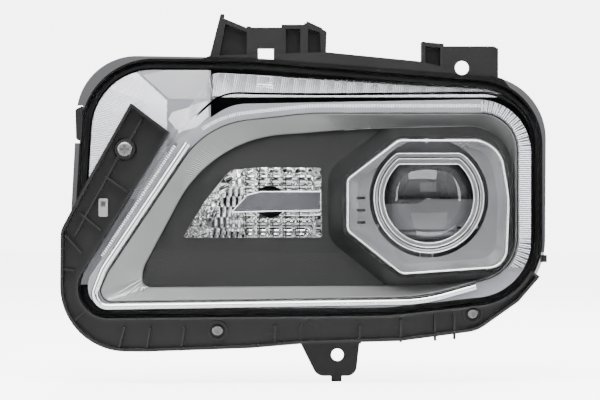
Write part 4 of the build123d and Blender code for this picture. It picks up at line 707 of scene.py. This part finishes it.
bm = bmesh.new()
for point, forward, outward in stops(rounded_loop(TRIM_INNER, 0.5), DASH_PITCH):
    found = face_at(dish, point)
    if found is not None:
        ends = [point - forward * DASH_HALF, point + forward * DASH_HALF]
        start, end = [Vector((spot.x, found[0].y, spot.y)) for spot in ends]
        ridge(bm, start, end, Vector((0, -1, 0)), DASH_SIZE, DASH_SIZE)
add_piece("broken_line", bm, bright_chrome)
add_rim("outer_shadow_line", rounded_loop(TRIM_OUTER, -0.2), -31.9, 0.55, housing_black)

# %% [markdown]
# ## Fine strip along the top
# The carrier's top edge has a narrow band of very fine ribs. They stand square to the outline,
# like the teeth of the guide, and stop at the two upper corners.

# %% Top strip
TOP_PITCH, TOP_OFFSET, TOP_REACH = 1.1, 3.8, 2.6
TOP_BOTTOM, TOP_LEFT, TOP_RIGHT = 150, -92, 118

carrier = probe("light_guide_carrier")
bm = bmesh.new()
for point, _, outward in stops(rounded_loop(TRIM_OUTER), TOP_PITCH):
    if point.y > TOP_BOTTOM and TOP_LEFT < point.x < TOP_RIGHT:
        start = point + outward * TOP_OFFSET
        rib_over(bm, carrier, start, outward, TOP_REACH, 0.75, 0.4, step=0.4)
# The ribs are much lighter than the carrier under them: a painted highlight on the ridges and painted shade
# between them.
add_piece("top_strip", bm, bright_satin)

# %% [markdown]
# ## Facets of the side reflector
# The reflector behind the window is metallised and cut into tall flutes on the left and squarer
# pillows on the right. A bump would look flat under a clear lens, so a fine grid is laid just
# inside the bowl, a formula presses the pattern in, and what falls beside the bowl is removed.

# %% Reflector facets
FACET_STEP = 0.7
FACETS_LEFT, FACETS_BOTTOM = -109, 82.6
COLUMNS, ROWS = int(98 / FACET_STEP), int(50 / FACET_STEP)
BULB_CENTRE, BULB_CLEARANCE = Vector((-48, 108)), 9.5
FACETS_BACK, FACETS_FRONT = 38.0, -4.6
FLUTES_END = -66.0


def dent_at(spot):
    """Depth of the pressed pattern at a point of the front view."""
    if spot.x < FLUTES_END:
        shift = 1.3 * (int((spot.y - 82) / 7.5) % 2)
        return 2.4 * abs((spot.x + shift) / 4.2 % 1 - 0.5)
    sideways = (spot.x - FLUTES_END) / 9.0 % 1 - 0.5
    upward = (spot.y - 82) / 6.4 % 1 - 0.5
    return 5.0 * sideways * sideways + 3.4 * upward * upward


bowl = probe("side_reflector")
bm = bmesh.new()
bmesh.ops.create_grid(bm, x_segments=COLUMNS, y_segments=ROWS, size=1)
beside = []
for index, vert in enumerate(bm.verts):
    k, i = divmod(index, COLUMNS + 1)
    spot = Vector((FACETS_LEFT + i * FACET_STEP, FACETS_BOTTOM + k * FACET_STEP))
    found = face_at(bowl, spot)
    if found is None or (spot - BULB_CENTRE).length < BULB_CLEARANCE:
        beside.append(vert)
        continue
    depth = min(found[0].y - 0.6, FACETS_BACK)
    vert.co = (spot.x, max(FACETS_FRONT, depth - dent_at(spot)), spot.y)
bmesh.ops.delete(bm, geom=beside, context="VERTS")
add_piece("reflector_facets", bm, bright_chrome)

# %% [markdown]
# ## Painted highlights on the edges
# Polished edges catch the light on the octagonal bezel, on the centre bar and on the rings of the
# projector, which are cut flat at the top. A thin bead on each edge, in a near-white finish much
# brighter than the part under it, paints that line of light at any size, where a bevel on the CAD
# piece would change its mesh.

# %% Highlights on the edges of the bezel and the bar
add_rim("bezel_edge_highlight", rounded_loop(OCTAGON, -0.7), -41.9, 0.7, painted_edge_highlight)
add_rim("bar_edge_highlight", rounded_loop(CENTRE_BAR, -0.3), -18.1, 0.45, painted_edge_highlight)

# %% Highlights on the edges of the projector
RING_POINTS = 97
# Name, radius, height of the flat, depth and bead radius of each painted edge highlight.
PROJECTOR_EDGE_HIGHLIGHTS = [
    ("holder_edge_highlight", 38.1, 30.9, -35.9, 0.4),
    ("ring_edge_highlight", 34.4, 27.3, -34.7, 0.35),
    ("aperture_edge_highlight", 31.5, 23.6, -34.6, 0.3),
]


def flat_circle(radius, flat):
    """Circle round the projector axis with its top cut level."""
    points = []
    for k in range(RING_POINTS):
        angle = math.tau * k / RING_POINTS
        spot = Vector((math.cos(angle), math.sin(angle))) * radius
        points.append(PROJECTOR_AXIS + Vector((spot.x, min(spot.y, flat))))
    return points


for name, radius, flat, depth, bead in PROJECTOR_EDGE_HIGHLIGHTS:
    add_rim(name, flat_circle(radius, flat), depth, bead, painted_edge_highlight, "projector")

# %% [markdown]
# ## Floor finish
# A pale sweep under the lamp. Most of its brightness is only for the eye, so that it doesn't fill
# the black plastic with light from below.

# %% Floor finish
FLOOR_GLOW = 5.0

pale_floor = grained("pale_floor", grey(0.55), grey(0.6), 0.6, 0.8)
tree = pale_floor.node_tree
plain = tree.nodes["Principled BSDF"]
glow = tree.nodes.new("ShaderNodeEmission")
glow.inputs["Strength"].default_value = FLOOR_GLOW
eye_ray = tree.nodes.new("ShaderNodeLightPath")
both = tree.nodes.new("ShaderNodeAddShader")
for_eye = tree.nodes.new("ShaderNodeMixShader")
tree.links.new(plain.outputs[0], both.inputs[0])
tree.links.new(glow.outputs[0], both.inputs[1])
tree.links.new(eye_ray.outputs["Is Camera Ray"], for_eye.inputs["Fac"])
tree.links.new(plain.outputs[0], for_eye.inputs[1])
tree.links.new(both.outputs[0], for_eye.inputs[2])
tree.links.new(for_eye.outputs[0], tree.nodes["Material Output"].inputs["Surface"])
floor.data.materials.append(pale_floor)
print("floor finished")
